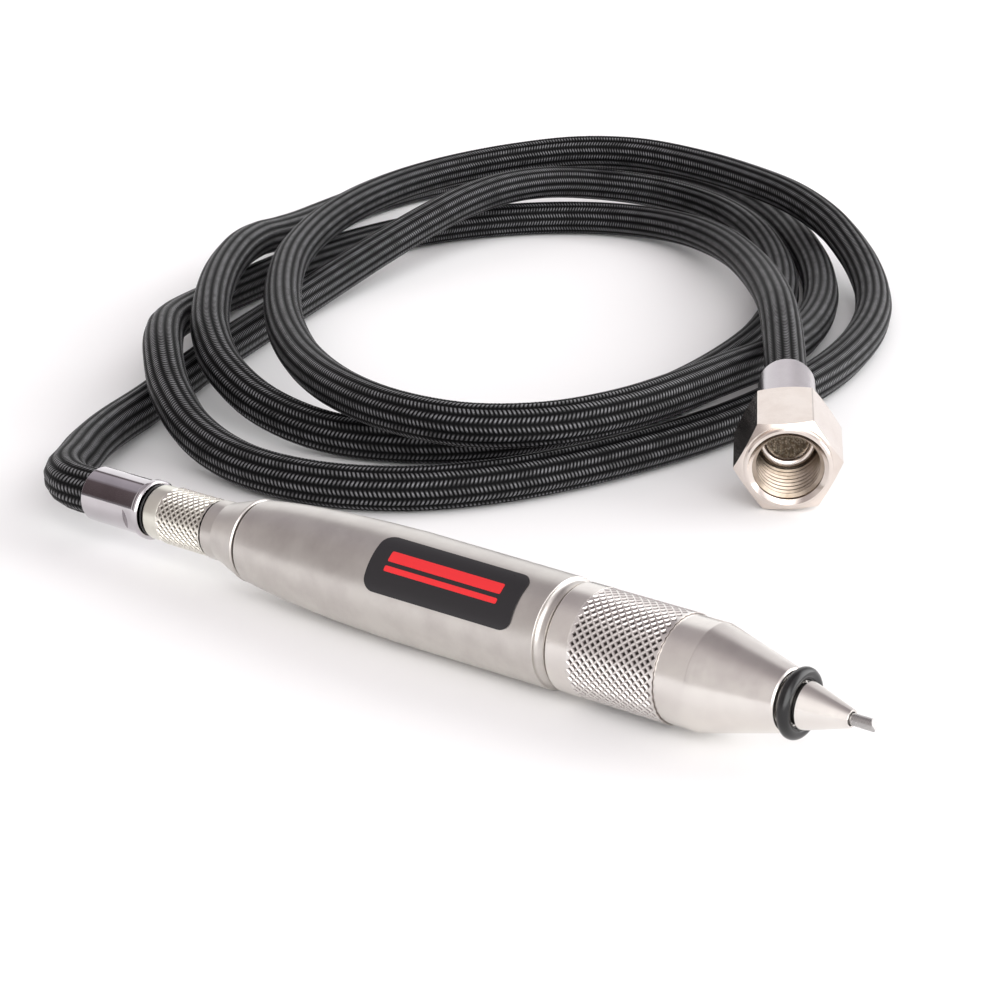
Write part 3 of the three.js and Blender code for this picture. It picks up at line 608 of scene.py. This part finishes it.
def makeBarrel():
    b, rear, front = barrel, barrelRear, barrelFront
    length = front - rear
    swell = [(rear + b["edge"], b["rearRadius"])] + [
        (rear + along * length, b["rearRadius"] + out * (b["radius"] - b["rearRadius"]))
        for along, out in zip(b["swellAlong"], b["swellOut"])
    ]
    # the hollow between barrel and grip is turned to a round
    grooveFront = gripRear - b["gripGap"]
    wide = (grooveFront - front) / 2
    deep = b["frontRadius"] - b["lip"] - b["groove"]
    hollow = []
    for k in range(1, b["grooveSteps"] + 1):
        turn = math.pi * k / b["grooveSteps"]
        sunk = deep * math.sin(turn) ** b["grooveRound"]
        hollow.append((
            front + wide * (1 - math.cos(turn)),
            b["frontRadius"] - b["lip"] - sunk - b["grooveFall"] * k / b["grooveSteps"],
        ))
    outline = [(rear, b["rearRadius"] - b["edge"])] + smoothSteps(swell, b["swellSteps"]) + [
        (front - b["lipLength"], b["frontRadius"]), (front, b["frontRadius"] - b["lip"]),
    ] + hollow + [
        (grooveFront, b["spigot"]), (barrelSpigotFront, b["spigot"]),
        (barrelSpigotFront, b["bore"]), (b["boreRear"], b["bore"]),
        (b["boreRear"], b["rearBore"]), (rear, b["rearBore"]),
    ]
    addTurned(
        "barrelTube", "barrel", satinBarrel, outline, steps=144, widthMm=0.09, minDegrees=25
    )


cap = {"bandRadius": 5.6, "bandLength": 3.0, "edge": 0.3, "spigot": 6.45, "bore": 1.2,
       "socket": 2.75, "socketLength": 7.1, "toBarrel": 0.3}


def makeCap():
    c, front = cap, barrelRear - cap["toBarrel"]
    rear, spigotFront = cadSpan("rear_cap")
    outline = [
        (rear, c["bandRadius"] - c["edge"]), (rear + c["edge"], c["bandRadius"]),
        (rear + c["bandLength"], c["bandRadius"]),
        (front - c["edge"], barrel["rearRadius"]), (front, barrel["rearRadius"] - c["edge"]),
        (front, c["spigot"]), (spigotFront, c["spigot"]),
        (spigotFront, c["bore"]), (rear + c["socketLength"], c["bore"]),
        (rear + c["socketLength"], c["socket"]), (rear, c["socket"]),
    ]
    addTurned("rearCap", "rear_cap", satinBarrel, outline, steps=128, widthMm=0.1, minDegrees=12)


def fromPenAxis(vert):
    # straight out from the pen's axis to a point of a mesh
    return Vector((0, vert.co.y - penAxis.y, vert.co.z - penAxis.z))


def knurlBand(bm, rear, front, knurl):
    # a rolled diamond knurl: every second point of the spun grid is pressed in to a
    # pit, and the ridges that cross between the pits are left with narrow flats
    rows, columns = 2 * knurl["along"], 2 * knurl["around"]
    least = (knurl["radius"] - knurl["depth"]) * mm
    near = 1e-4  # millimetres
    cells = {}
    for vert in bm.verts:
        out = fromPenAxis(vert)
        if out.length < least or not rear - near <= vert.co.x / mm <= front + near:
            continue
        i = round(math.atan2(out.y, out.z) / (2 * math.pi) * columns) % columns
        j = round((vert.co.x / mm - rear) / (front - rear) * rows)
        cells[vert] = (i, j)
    for vert, (i, j) in cells.items():
        if (i + j) % 2 == 0 and 0 < j < rows:
            vert.co -= fromPenAxis(vert).normalized() * knurl["depth"] * mm
    ridges = []
    for face in [f for f in bm.faces if all(v in cells for v in f.verts) and len(f.verts) == 4]:
        if len({cells[v][1] for v in face.verts}) < 2:
            continue
        high = [v for v in face.verts if sum(cells[v]) % 2 == 1]
        bmesh.utils.face_split(face, high[0], high[1])
        ridges.append(bm.edges.get(high))
    bevelEdges(bm, ridges, knurl["flat"], segments=1)


def knurlRows(rear, front, knurl):
    rows = 2 * knurl["along"]
    return [(rear + (front - rear) * j / rows, knurl["radius"]) for j in range(rows + 1)]


# rounded ends are [along, inwards] pairs from the end that they round
ring = {"bandRadius": 5.25, "bandLength": 4.0, "radius": 5.45, "depth": 0.5, "bore": 3.35,
        "around": 23, "along": 8, "flat": 0.1, "under": 0.03,
        "rearRound": ((0, 0.5), (0.15, 0.2), (0.5, 0)),
        "frontRound": ((0.8, 0), (0.4, 0.06), (0.1, 0.22))}
# the stainless steel again, rolled into diamonds that sparkle on their crests, with painted shade in
# the pits
rolledRing = knurlMetalPaintedPits(
    "ringKnurlPaintedShade", ring,
    [(0.0, "#2E2A26"), (0.42, "#5E5952"), (0.74, "#C4C0B7"), (1.0, "#EAE7DE")],
)


def makeThrottleRing():
    r = ring
    rear, front = cadSpan("throttle_ring")
    knurlRear = rear + r["bandLength"]
    outline = (
        [(rear + along, r["bandRadius"] - inwards) for along, inwards in r["rearRound"]]
        + [(knurlRear - along, r["bandRadius"] - inwards) for along, inwards in r["frontRound"]]
        + knurlRows(knurlRear, front, r) + [(front, r["bore"]), (rear, r["bore"])]
    )
    bm = spinOutline(outline, 2 * r["around"])
    knurlBand(bm, knurlRear, front, r)
    for face in bm.faces:
        if face.calc_center_median().x < (knurlRear - r["under"]) * mm:
            face.material_index = 1
    mesh = finishMesh("throttleRing", bm, sharpDegrees=12)
    addPiece("throttleRing", mesh, [rolledRing, polishedBand], "throttle", ["throttle_ring"])


grip = {"bandRadius": 9.45, "edge": 0.35, "radius": 9.4, "depth": 0.5, "around": 38,
        "along": 11, "flat": 0.11, "bandDepth": 0.35, "under": 0.2, "frontBandRadius": 9.1,
        "noseRadius": 5.35, "noseBore": 4.15, "cavity": 5.6, "shoulder": 62.2,
        "socket": 8.35, "socketFront": 37.5, "bandLength": 4.5, "knurlLength": 17,
        "frontBandLength": 5.8}
# the same rolled steel, a little cooler, with the same painted shade in the pits
rolledGrip = knurlMetalPaintedPits(
    "gripKnurlPaintedShade", grip,
    [(0.0, "#2A2625"), (0.42, "#5A5452"), (0.74, "#BBB5B2"), (1.0, "#E2DEDB")],
)


def makeGrip():
    # the knurl is cut on a grid of its own, so the grip is two pieces: the
    # knurled band, and the turned bands, cone and bore round it
    g, rear, front = grip, gripRear, gripFront
    knurlRear = rear + g["bandLength"]
    knurlFront = knurlRear + g["knurlLength"]
    coneRear = knurlFront + g["frontBandLength"]
    root = g["radius"] - g["depth"]
    inside = root - g["bandDepth"]
    outline = knurlRows(knurlRear, knurlFront, g) + [(knurlFront, inside), (knurlRear, inside)]
    bm = spinOutline(outline, 2 * g["around"])
    knurlBand(bm, knurlRear, knurlFront, g)
    mesh = finishMesh("gripKnurl", bm, sharpDegrees=12)
    band = addPiece("gripKnurl", mesh, [rolledGrip], "pen_body")
    under = root - g["under"]
    outline = [
        (rear, g["bandRadius"] - g["edge"]), (rear + g["edge"], g["bandRadius"]),
        (knurlRear, g["bandRadius"]), (knurlRear, under), (knurlFront, under),
        (knurlFront, g["frontBandRadius"]), (coneRear, g["frontBandRadius"]),
        (front - g["edge"], g["noseRadius"]), (front, g["noseRadius"] - g["edge"]),
        (front, g["noseBore"]), (g["shoulder"], g["noseBore"]),
        (g["shoulder"], g["cavity"]), (g["socketFront"], g["cavity"]),
        (g["socketFront"], g["socket"]), (rear, g["socket"]),
    ]
    addTurned(
        "frontGrip", "front_grip", turnedStainless, outline, steps=144,
        widthMm=0.12, minDegrees=12,
    )


ferrule = {"radius": 5.3, "rimRadius": 5.75, "rimLength": 1.6, "rimEdge": 0.35, "edge": 0.3,
           "bore": 2.55, "socket": 4.85, "socketDepth": 8.3, "flatWidth": 9.7, "flatLength": 2.4,
           "flatTurn": 15.0, "blockDepth": 2, "blockHeight": 14}


def makeFerrule():
    f = ferrule
    rear, front = cadSpan("hose_ferrule")
    rim = front - f["rimLength"]
    outline = [
        (rear, f["radius"] - f["edge"]), (rear + f["edge"], f["radius"]),
        (rim, f["radius"]), (rim, f["rimRadius"] - f["rimEdge"]),
        (rim + f["rimEdge"], f["rimRadius"]), (front - f["rimEdge"], f["rimRadius"]),
        (front, f["rimRadius"] - f["rimEdge"]), (front, f["bore"]),
        (rear + f["socketDepth"], f["bore"]), (rear + f["socketDepth"], f["socket"]),
        (rear, f["socket"]),
    ]
    bm = spinOutline(outline, steps=128)
    breakEdges(bm, widthMm=0.1, minDegrees=25)
    mesh = rawMesh("hoseFerrule", bm)
    piece = addPiece("hoseFerrule", mesh, [chromePlate], "pen_body", ["hose_ferrule"])
    # the wrench flats, milled by two blocks
    block = Vector((f["flatLength"], f["blockDepth"], f["blockHeight"])) * mm
    aside = f["flatWidth"] / 2 + f["blockDepth"] / 2
    blocks = []
    for side in (-1, 1):
        cutter = bmesh.new()
        bmesh.ops.create_cube(cutter, size=1)
        bmesh.ops.scale(cutter, vec=block, verts=cutter.verts)
        place = ((rim - f["flatLength"] / 2) * mm, side * aside * mm, penAxis.z)
        bmesh.ops.translate(cutter, verts=cutter.verts, vec=place)
        turnMesh(cutter, f["flatTurn"], "X", penAxis)
        blocks.append(newObject("flatBlock", rawMesh("flatBlock", cutter)))
    cutAway(piece, blocks, "DIFFERENCE")


bush = {"flangeFront": 61.9, "flange": 5.2, "radius": 4.0, "neck": 3.4, "tipRadius": 1.5,
        "tipBore": 1.15, "boreStep": 75.01, "bore": 1.9, "neckLength": 3}


def makeBush():
    b, neckFront = bush, gripFront + bush["neckLength"]
    rear, front = cadSpan("nose_bush")
    outline = [
        (rear, b["flange"]), (b["flangeFront"], b["flange"]), (b["flangeFront"], b["radius"]),
        (gripFront, b["radius"]), (gripFront, b["neck"]), (neckFront, b["neck"]),
        (neckFront, b["radius"]), (front, b["tipRadius"]), (front, b["tipBore"]),
        (b["boreStep"], b["tipBore"]), (b["boreStep"], b["bore"]), (rear, b["bore"]),
    ]
    addTurned(
        "noseBush", "nose_bush", turnedStainless, outline, steps=96, widthMm=0.07, minDegrees=25
    )


noseRing = {"pastGrip": 1.6, "radius": 4.82, "section": 2.2, "sectionSteps": 28, "steps": 96}


def makeNoseRing():
    # an O-ring: a circle spun about the pen's axis
    bm = bmesh.new()
    radius = noseRing["section"] / 2 * mm
    bmesh.ops.create_circle(bm, segments=noseRing["sectionSteps"], radius=radius)
    turnMesh(bm, 90, "X")
    along = (gripFront + noseRing["pastGrip"]) * mm
    middle = (along, 0, penAxis.z + noseRing["radius"] * mm)
    bmesh.ops.translate(bm, verts=bm.verts, vec=middle)
    spin(bm, bm.verts[:] + bm.edges[:], penAxis, noseRing["steps"])
    addPiece("noseRing", finishMesh("noseRing", bm), [nitrileRubber], "pen_body", ["nose_o_ring"])


seal = {"radius": 5.1, "bore": 3.5}


def makeSeal():
    rear, front = cadSpan("ring_seal")
    radius, bore = seal["radius"], seal["bore"]
    outline = [(rear, radius), (front, radius), (front, bore), (rear, bore)]
    addTurned(
        "ringSeal", "ring_seal", nitrileRubber, outline, steps=96,
        widthMm=0.12, minDegrees=25, segments=3,
    )


# each facet is [turn from the top, length along the rod, lean], angles in degrees
tip = {"radius": 1.0, "facets": ((20, 0.95, 62), (150, 0.7, 50), (262, 0.6, 38))}


def makeTip():
    # a round carbide rod, blunt at its end, with short ground facets
    t = tip
    rear, front = cadSpan("carbide_tip")
    outline = [(rear, 0), (rear, t["radius"]), (front, t["radius"]), (front, 0)]
    bm = spinOutline(outline, steps=48)
    for degrees, length, leanDegrees in t["facets"]:
        turn, lean = math.radians(degrees), math.radians(leanDegrees)
        out = Vector((0, math.sin(turn), math.cos(turn)))
        normal = out * math.cos(lean) + Vector((1, 0, 0)) * math.sin(lean)
        onFacet = Vector(((front - length) * mm, 0, penAxis.z)) + out * t["radius"] * mm
        cut = sliceMesh(bm, onFacet, normal, near=1e-7, clearOuter=True)
        rim = [item for item in cut if isinstance(item, bmesh.types.BMEdge)]
        bmesh.ops.contextual_create(bm, geom=rim)
    cleanMesh(bm)
    mesh = finishMesh("carbideTip", bm, sharpDegrees=20)
    addPiece("carbideTip", mesh, [groundCarbide], "stylus", ["carbide_tip"])


# each bar is [rear, front, low, high] on the rolled-out plate
plate = {"rear": -10.1, "front": 21.8, "middleDegrees": 47.0, "spanDegrees": 63.0,
         "corner": 2.3, "thickness": 0.12, "lift": 0.06, "cuts": 28,
         "bars": ((-6.5, 17.9, 0.3, 2.3), (-6.5, 17.9, -1.5, -0.5)),
         "barCorner": 0.3, "barThickness": 0.05}


def barrelRadiusAt(along):
    straight = barrelRear + barrel["swellAlong"][-1] * (barrelFront - barrelRear)
    if along <= straight:
        return barrel["radius"]
    share = (along - straight) / (barrelFront - barrel["edge"] - straight)
    return barrel["radius"] + share * (barrel["frontRadius"] - barrel["radius"])


def roundedBox(rear, front, low, high, corner, steps):
    points = []
    for cx, cy, start in (
        (front - corner, high - corner, 0), (rear + corner, high - corner, 90),
        (rear + corner, low + corner, 180), (front - corner, low + corner, 270),
    ):
        for k in range(steps + 1):
            turn = math.radians(start + 90 * k / steps)
            points.append((cx + corner * math.cos(turn), cy + corner * math.sin(turn)))
    return points


def plateOnBarrel(name, outlineMm, material, lift, thickness):
    # a flat outline in [along, across] is filled, cut fine, and rolled round
    # the barrel, then given its thickness outwards
    bm = bmesh.new()
    verts = [bm.verts.new((a * mm, b * mm, 0)) for a, b in outlineMm]
    bm.faces.new(verts)
    low = min(b for _, b in outlineMm)
    high = max(b for _, b in outlineMm)
    for k in range(1, plate["cuts"]):
        at = low + (high - low) * k / plate["cuts"]
        sliceMesh(bm, (0, at * mm, 0), (0, 1, 0), near=1e-8)
    middle = math.radians(plate["middleDegrees"])
    for vert in bm.verts:
        radius = (barrelRadiusAt(vert.co.x / mm) + lift) * mm
        turn = middle - vert.co.y / (barrel["radius"] * mm)
        vert.co = Vector((vert.co.x, -radius * math.sin(turn), penAxis.z + radius * math.cos(turn)))
    bmesh.ops.recalc_face_normals(bm, faces=bm.faces)
    face = next(iter(bm.faces))
    if face.normal.dot(face.calc_center_median() - penAxis) < 0:
        bmesh.ops.reverse_faces(bm, faces=bm.faces)
    bmesh.ops.solidify(bm, geom=bm.faces[:], thickness=thickness * mm)
    cleanMesh(bm)
    mesh = finishMesh(name, bm, sharpDegrees=30)
    return addPiece(name, mesh, [material], "pen_body")


def makePlate():
    half = math.radians(plate["spanDegrees"] / 2) * barrel["radius"]
    outline = roundedBox(plate["rear"], plate["front"], -half, half, plate["corner"], steps=8)
    top = plate["lift"] + plate["thickness"]
    base = plateOnBarrel("barrelPlate", outline, blackEnamel, top, plate["thickness"])
    # plain red bars where the plate is printed
    thickness = plate["barThickness"]
    for k, (rear, front, low, high) in enumerate(plate["bars"]):
        box = roundedBox(rear, front, low, high, plate["barCorner"], steps=3)
        bar = plateOnBarrel(f"plateBar{k}", box, redEnamel, top + thickness, thickness)


collar = {"length": 22.0, "radius": 6.0, "edge": 0.5, "stem": 4.15, "stemRear": 14.7,
          "bore": 1.6, "socket": 4.85, "socketDepth": 10.3,
          "mouthRound": ((0, 1.15), (0.35, 0.75), (0.9, 0.25), (1.7, 0))}


def makeCollar():
    c = collar
    outline = [(along, c["radius"] - inwards) for along, inwards in c["mouthRound"]] + [
        (c["length"] - c["edge"], c["radius"]), (c["length"], c["radius"] - c["edge"]),
        (c["length"], c["stem"]), (c["stemRear"], c["stem"]), (c["stemRear"], c["bore"]),
        (c["socketDepth"], c["bore"]), (c["socketDepth"], c["socket"]), (0, c["socket"]),
    ]
    return addTurned(
        "nutCollar", "nut_ferrule", satinNickel, outline, steps=96, atEnd=True,
        widthMm=0.12, minDegrees=12,
    )


# the thread's form is the share of a pitch at which each of its corners lies
nut = {"rear": 22.3, "front": 40.3, "flats": 19.0, "chamfer": 1.4, "floor": 2.2, "hole": 4.3,
       "blankOver": 0.3, "rearEdge": (0.12, 0.15), "chamferSlope": 0.58, "lip": 9.25,
       "lipLength": 0.9, "lipStep": 0.35, "lipRound": ((0.3, 0.4), (0, 0.7)), "mouth": 7.85,
       "mouthEdge": 0.15, "mouthDepth": 0.7, "relief": 7.15, "reliefDepth": 1.5, "minor": 6.4,
       "major": 7.1, "floorEdge": 0.2, "pitch": 1.5, "turns": 8,
       "form": ((0, "minor"), (0.12, "minor"), (0.46, "major"), (0.54, "major"), (0.88, "minor")),
       "cornerRound": 0.25, "overrun": 5, "near": 0.02}


def makeNut():
    # a turned blank with its lip, relief and thread, milled to a hexagon
    n, rear, front = nut, nut["rear"], nut["front"]
    corner, side = n["flats"] / math.sqrt(3), n["flats"] / 2
    blank, floor = corner + n["blankOver"], rear + n["floor"]
    edgeLength, edgeHeight = n["rearEdge"]
    threadFront = front - n["reliefDepth"] - (n["relief"] - n["minor"]) / 2
    thread = [
        (threadFront - k * n["pitch"] - share * n["pitch"], n[level])
        for k in range(n["turns"]) for share, level in n["form"]
    ]
    chamferEnd = front - n["lipLength"]
    outline = [
        (rear, side - edgeHeight), (rear + edgeLength, side), (rear + n["chamfer"], blank),
        (chamferEnd - (blank - n["lip"]) * n["chamferSlope"], blank), (chamferEnd, n["lip"]),
        (chamferEnd, n["lip"] - n["lipStep"]),
    ] + [(front - along, n["lip"] - inwards) for along, inwards in n["lipRound"]] + [
        (front, n["mouth"] + n["mouthEdge"]), (front - n["mouthEdge"], n["mouth"]),
        (front - n["mouthDepth"], n["relief"]), (front - n["reliefDepth"], n["relief"]),
    ] + thread + [
        (floor + n["floorEdge"], n["minor"]), (floor, n["minor"] - n["floorEdge"]),
        (floor, n["hole"]), (rear, n["hole"]),
    ]
    bm = spinOutline(outline, steps=144, centre=origin)
    # the bore's faces take the nickel with painted shade
    for face in bm.faces:
        if all(math.hypot(v.co.y, v.co.z) < (n["relief"] + n["near"]) * mm for v in face.verts):
            face.material_index = 1
    placeEnd(bm)
    mesh = rawMesh("swivelNut", bm)
    piece = addPiece("swivelNut", mesh, [nickelPlate, boreNickelPaintedShade], "nut", ["swivel_nut"])
    prism = bmesh.new()
    start = rear - n["overrun"]
    ends = [
        prism.verts.new((start * mm, corner * math.cos(turn) * mm, corner * math.sin(turn) * mm))
        for turn in (math.pi / 3 * k for k in range(6))
    ]
    pushed = bmesh.ops.extrude_face_region(prism, geom=[prism.faces.new(ends)])["geom"]
    bmesh.ops.translate(
        prism, verts=[v for v in pushed if isinstance(v, bmesh.types.BMVert)],
        vec=((front - rear + 2 * n["overrun"]) * mm, 0, 0),
    )
    cleanMesh(prism)
    uprights = [
        e for e in prism.edges if abs((e.verts[0].co - e.verts[1].co).x) > n["overrun"] * mm
    ]
    bevelEdges(prism, uprights, n["cornerRound"], segments=3)
    placeEnd(prism)
    cutAway(piece, [newObject("hexTool", rawMesh("hexTool", prism))], "INTERSECT")
    return piece


tail = {"rear": 15.0, "stem": 4.0, "flangeRear": 24.8, "flangeFront": 28.4, "flange": 5.8,
        "flangeEdge": 0.2, "seat": 5.4, "seatDepth": 1.25, "seatSteps": 8, "recess": 4.0,
        "recessDepth": 2.2, "bore": 1.6}


def makeTail():
    # the seat is a rounded lip that the gauze sits in
    t, front = tail, tail["flangeFront"]
    seat = []
    for k in range(t["seatSteps"] + 1):
        turn = math.pi / 2 * k / t["seatSteps"]
        seat.append((
            front - t["seatDepth"] * (1 - math.cos(turn)),
            t["seat"] - (t["seat"] - t["recess"]) * math.sin(turn),
        ))
    outline = [
        (t["rear"], t["stem"]), (t["flangeRear"], t["stem"]), (t["flangeRear"], t["flange"]),
        (front - t["flangeEdge"], t["flange"]), (front, t["flange"] - t["flangeEdge"]),
    ] + seat + [
        (front - t["recessDepth"], t["recess"]), (front - t["recessDepth"], t["bore"]),
        (t["rear"], t["bore"]),
    ]
    return addTurned(
        "seatTail", "tailpiece", nickelPlate, outline, steps=96, atEnd=True,
        widthMm=0.08, minDegrees=25,
    )


gauze = {"front": 27.1, "thickness": 0.3, "radius": 3.96, "pleats": 7, "pleat": 0.22,
         "cutsPerPleat": 6, "steps": 64}


def makeFilter():
    # a disc of wire cloth pressed into straight pleats
    g, radius = gauze, gauze["radius"] * mm
    bm = bmesh.new()
    bmesh.ops.create_circle(bm, cap_ends=True, segments=g["steps"], radius=radius)
    cuts = g["cutsPerPleat"] * g["pleats"]
    for k in range(1, cuts):
        at = (2 * k / cuts - 1) * g["radius"] * mm
        sliceMesh(bm, (0, at, 0), (0, 1, 0), near=1e-8)
    for vert in bm.verts:
        vert.co.z = g["pleat"] * math.cos(math.pi * g["pleats"] * vert.co.y / radius) * mm
    bmesh.ops.solidify(bm, geom=bm.faces[:], thickness=g["thickness"] * mm)
    # the disc was made flat: its top is turned to the nut's mouth
    turnMesh(bm, 90, "Y")
    reach = max(v.co.x for v in bm.verts)
    bmesh.ops.translate(bm, verts=bm.verts, vec=(g["front"] * mm - reach, 0, 0))
    cleanMesh(bm)
    placeEnd(bm)
    mesh = finishMesh("inletGauze", bm, sharpDegrees=40)
    return addPiece("inletGauze", mesh, [wireGauze], "pen_body", ["inlet_filter"])


makeBarrel()
makeCap()
makeThrottleRing()
makeGrip()
makeFerrule()
makeBush()
makeNoseRing()
makeSeal()
makeTip()
makePlate()
print("pen turned, knurled and plated")

hoseEndPieces = [makeCollar(), makeNut(), makeTail(), makeFilter()]
print("hose end made")
makeHose()


# the CAD pieces that stay: the works inside
insideFinish = (
    (turnedBrass, ("inlet_stem", "port_block", "cylinder_sleeve", "stylus_guide")),
    (groundSteel, ("hammer_piston", "stylus", "return_spring")),
    (nitrileRubber, (
        "throttle_o_ring_rear", "throttle_o_ring_front", "sleeve_o_ring_rear", "sleeve_o_ring_front",
    )),
)
for finish, nodes in insideFinish:
    for node in nodes:
        works = bpy.data.objects[node]
        works.data.materials.clear()
        works.data.materials.append(finish)
print("inside pieces finished")


# places in the tent are the X of a unit view direction: the card's middle, at -X, the
# two distances from it between which it fades, and where the window begins and is full
studio = {"floor": "#F8F8F8", "floorSize": 6.0, "floorShine": 0.2, "floorScale": 3.0,
          "tent": 1.3, "window": 4.0, "cardAt": 0.715, "cardEdge": (0.02, 0.075),
          "windowEdge": (-0.05, 0.55)}


def makeFloor():
    # a sheet of matt white board
    bm = bmesh.new()
    bmesh.ops.create_grid(bm, x_segments=1, y_segments=1, size=studio["floorSize"] / 2)
    mesh = rawMesh("studioFloor", bm)
    floor = newObject("studioFloor", mesh)
    material = newMaterial("whiteBoard", studio["floor"], metallic=0, roughness=0.7)
    shader = material.node_tree.nodes["Principled BSDF"]
    shader.inputs["Specular IOR Level"].default_value = studio["floorShine"]
    mottle = addNode(
        material, "ShaderNodeTexNoise", Vector=objectPlace(material), Scale=studio["floorScale"]
    ).outputs["Fac"]
    tint(material, mottle, [(0.3, "#F7F7F7"), (0.7, "#FAFAFA")])
    mesh.materials.append(material)


def mixed(world, share, first, second, kind="MIX"):
    return addNode(
        world, "ShaderNodeMix", {"data_type": "RGBA", "blend_type": kind},
        i0=share, i6=first, i7=second,
    ).outputs[2]


def makeWorld():
    # a light tent whose tone goes by the angle round the pen, from the back wall
    # over the top to the camera's side. A dark card stands in the strip that the
    # pen's straight sides mirror, and the whole right side is a bright window
    world = bpy.data.worlds.new("lightTent")
    bpy.context.scene.world = world
    world.use_nodes = True
    way = addNode(world, "ShaderNodeTexCoord").outputs["Generated"]
    parts = addNode(world, "ShaderNodeSeparateXYZ", Vector=way).outputs
    turn = maths(world, "DIVIDE", maths(world, "ARCTAN2", parts["Z"], parts["Y"]), math.pi)
    card = colourRamp(world, turn, [
        (0.0, "#FFFFFF"), (0.27, "#F8F6F8"), (0.3, "#5A5254"), (0.33, "#6C6466"),
        (0.36, "#B4AEB4"), (0.55, "#A39DA3"), (0.63, "#5A4F51"), (0.94, "#4A3F41"),
        (1.0, "#8A888A"),
    ])
    tent = colourRamp(world, turn, [
        (0.0, "#FFFFFF"), (0.26, "#F2F0F1"), (0.34, "#9C9698"), (0.5, "#A39D9F"),
        (0.64, "#C6C0C0"), (1.0, "#CEC9C8"),
    ])
    fromCard = maths(world, "ABSOLUTE", maths(world, "ADD", parts["X"], studio["cardAt"]))
    off = ranged(world, fromCard, *studio["cardEdge"], kind="SMOOTHSTEP")
    # the tent is a little darker beside the window: the cone's upper side mirrors it
    side = colourRamp(world, ranged(world, parts["X"], low=-1.0, high=1.0), [
        (0.28, "#FFFFFF"), (0.38, "#DCDADB"), (0.48, "#D8D6D7"), (0.6, "#FFFFFF"),
    ])
    walls = mixed(world, 1.0, mixed(world, off, card, tent), side, kind="MULTIPLY")
    # the window's blind leaves a grey strip that gives the bright metal its form
    window = colourRamp(world, turn, [
        (0.0, "#FFFFFF"), (0.24, "#FFFFFF"), (0.36, "#8E8C8D"), (0.5, "#7E7B7D"),
        (0.62, "#A9A6A7"), (0.68, "#FFFFFF"), (1.0, "#FFFFFF"),
    ])
    toWindow = ranged(world, parts["X"], *studio["windowEdge"], kind="SMOOTHSTEP")
    brighter = studio["window"] - studio["tent"]
    light = maths(world, "MULTIPLY_ADD", toWindow, brighter, studio["tent"])
    feed(world, "Color", mixed(world, toWindow, walls, window), "Background")
    feed(world, "Strength", light, "Background")


makeFloor()
makeWorld()
bpy.context.scene.view_settings.view_transform = "Standard"
print("studio lit")
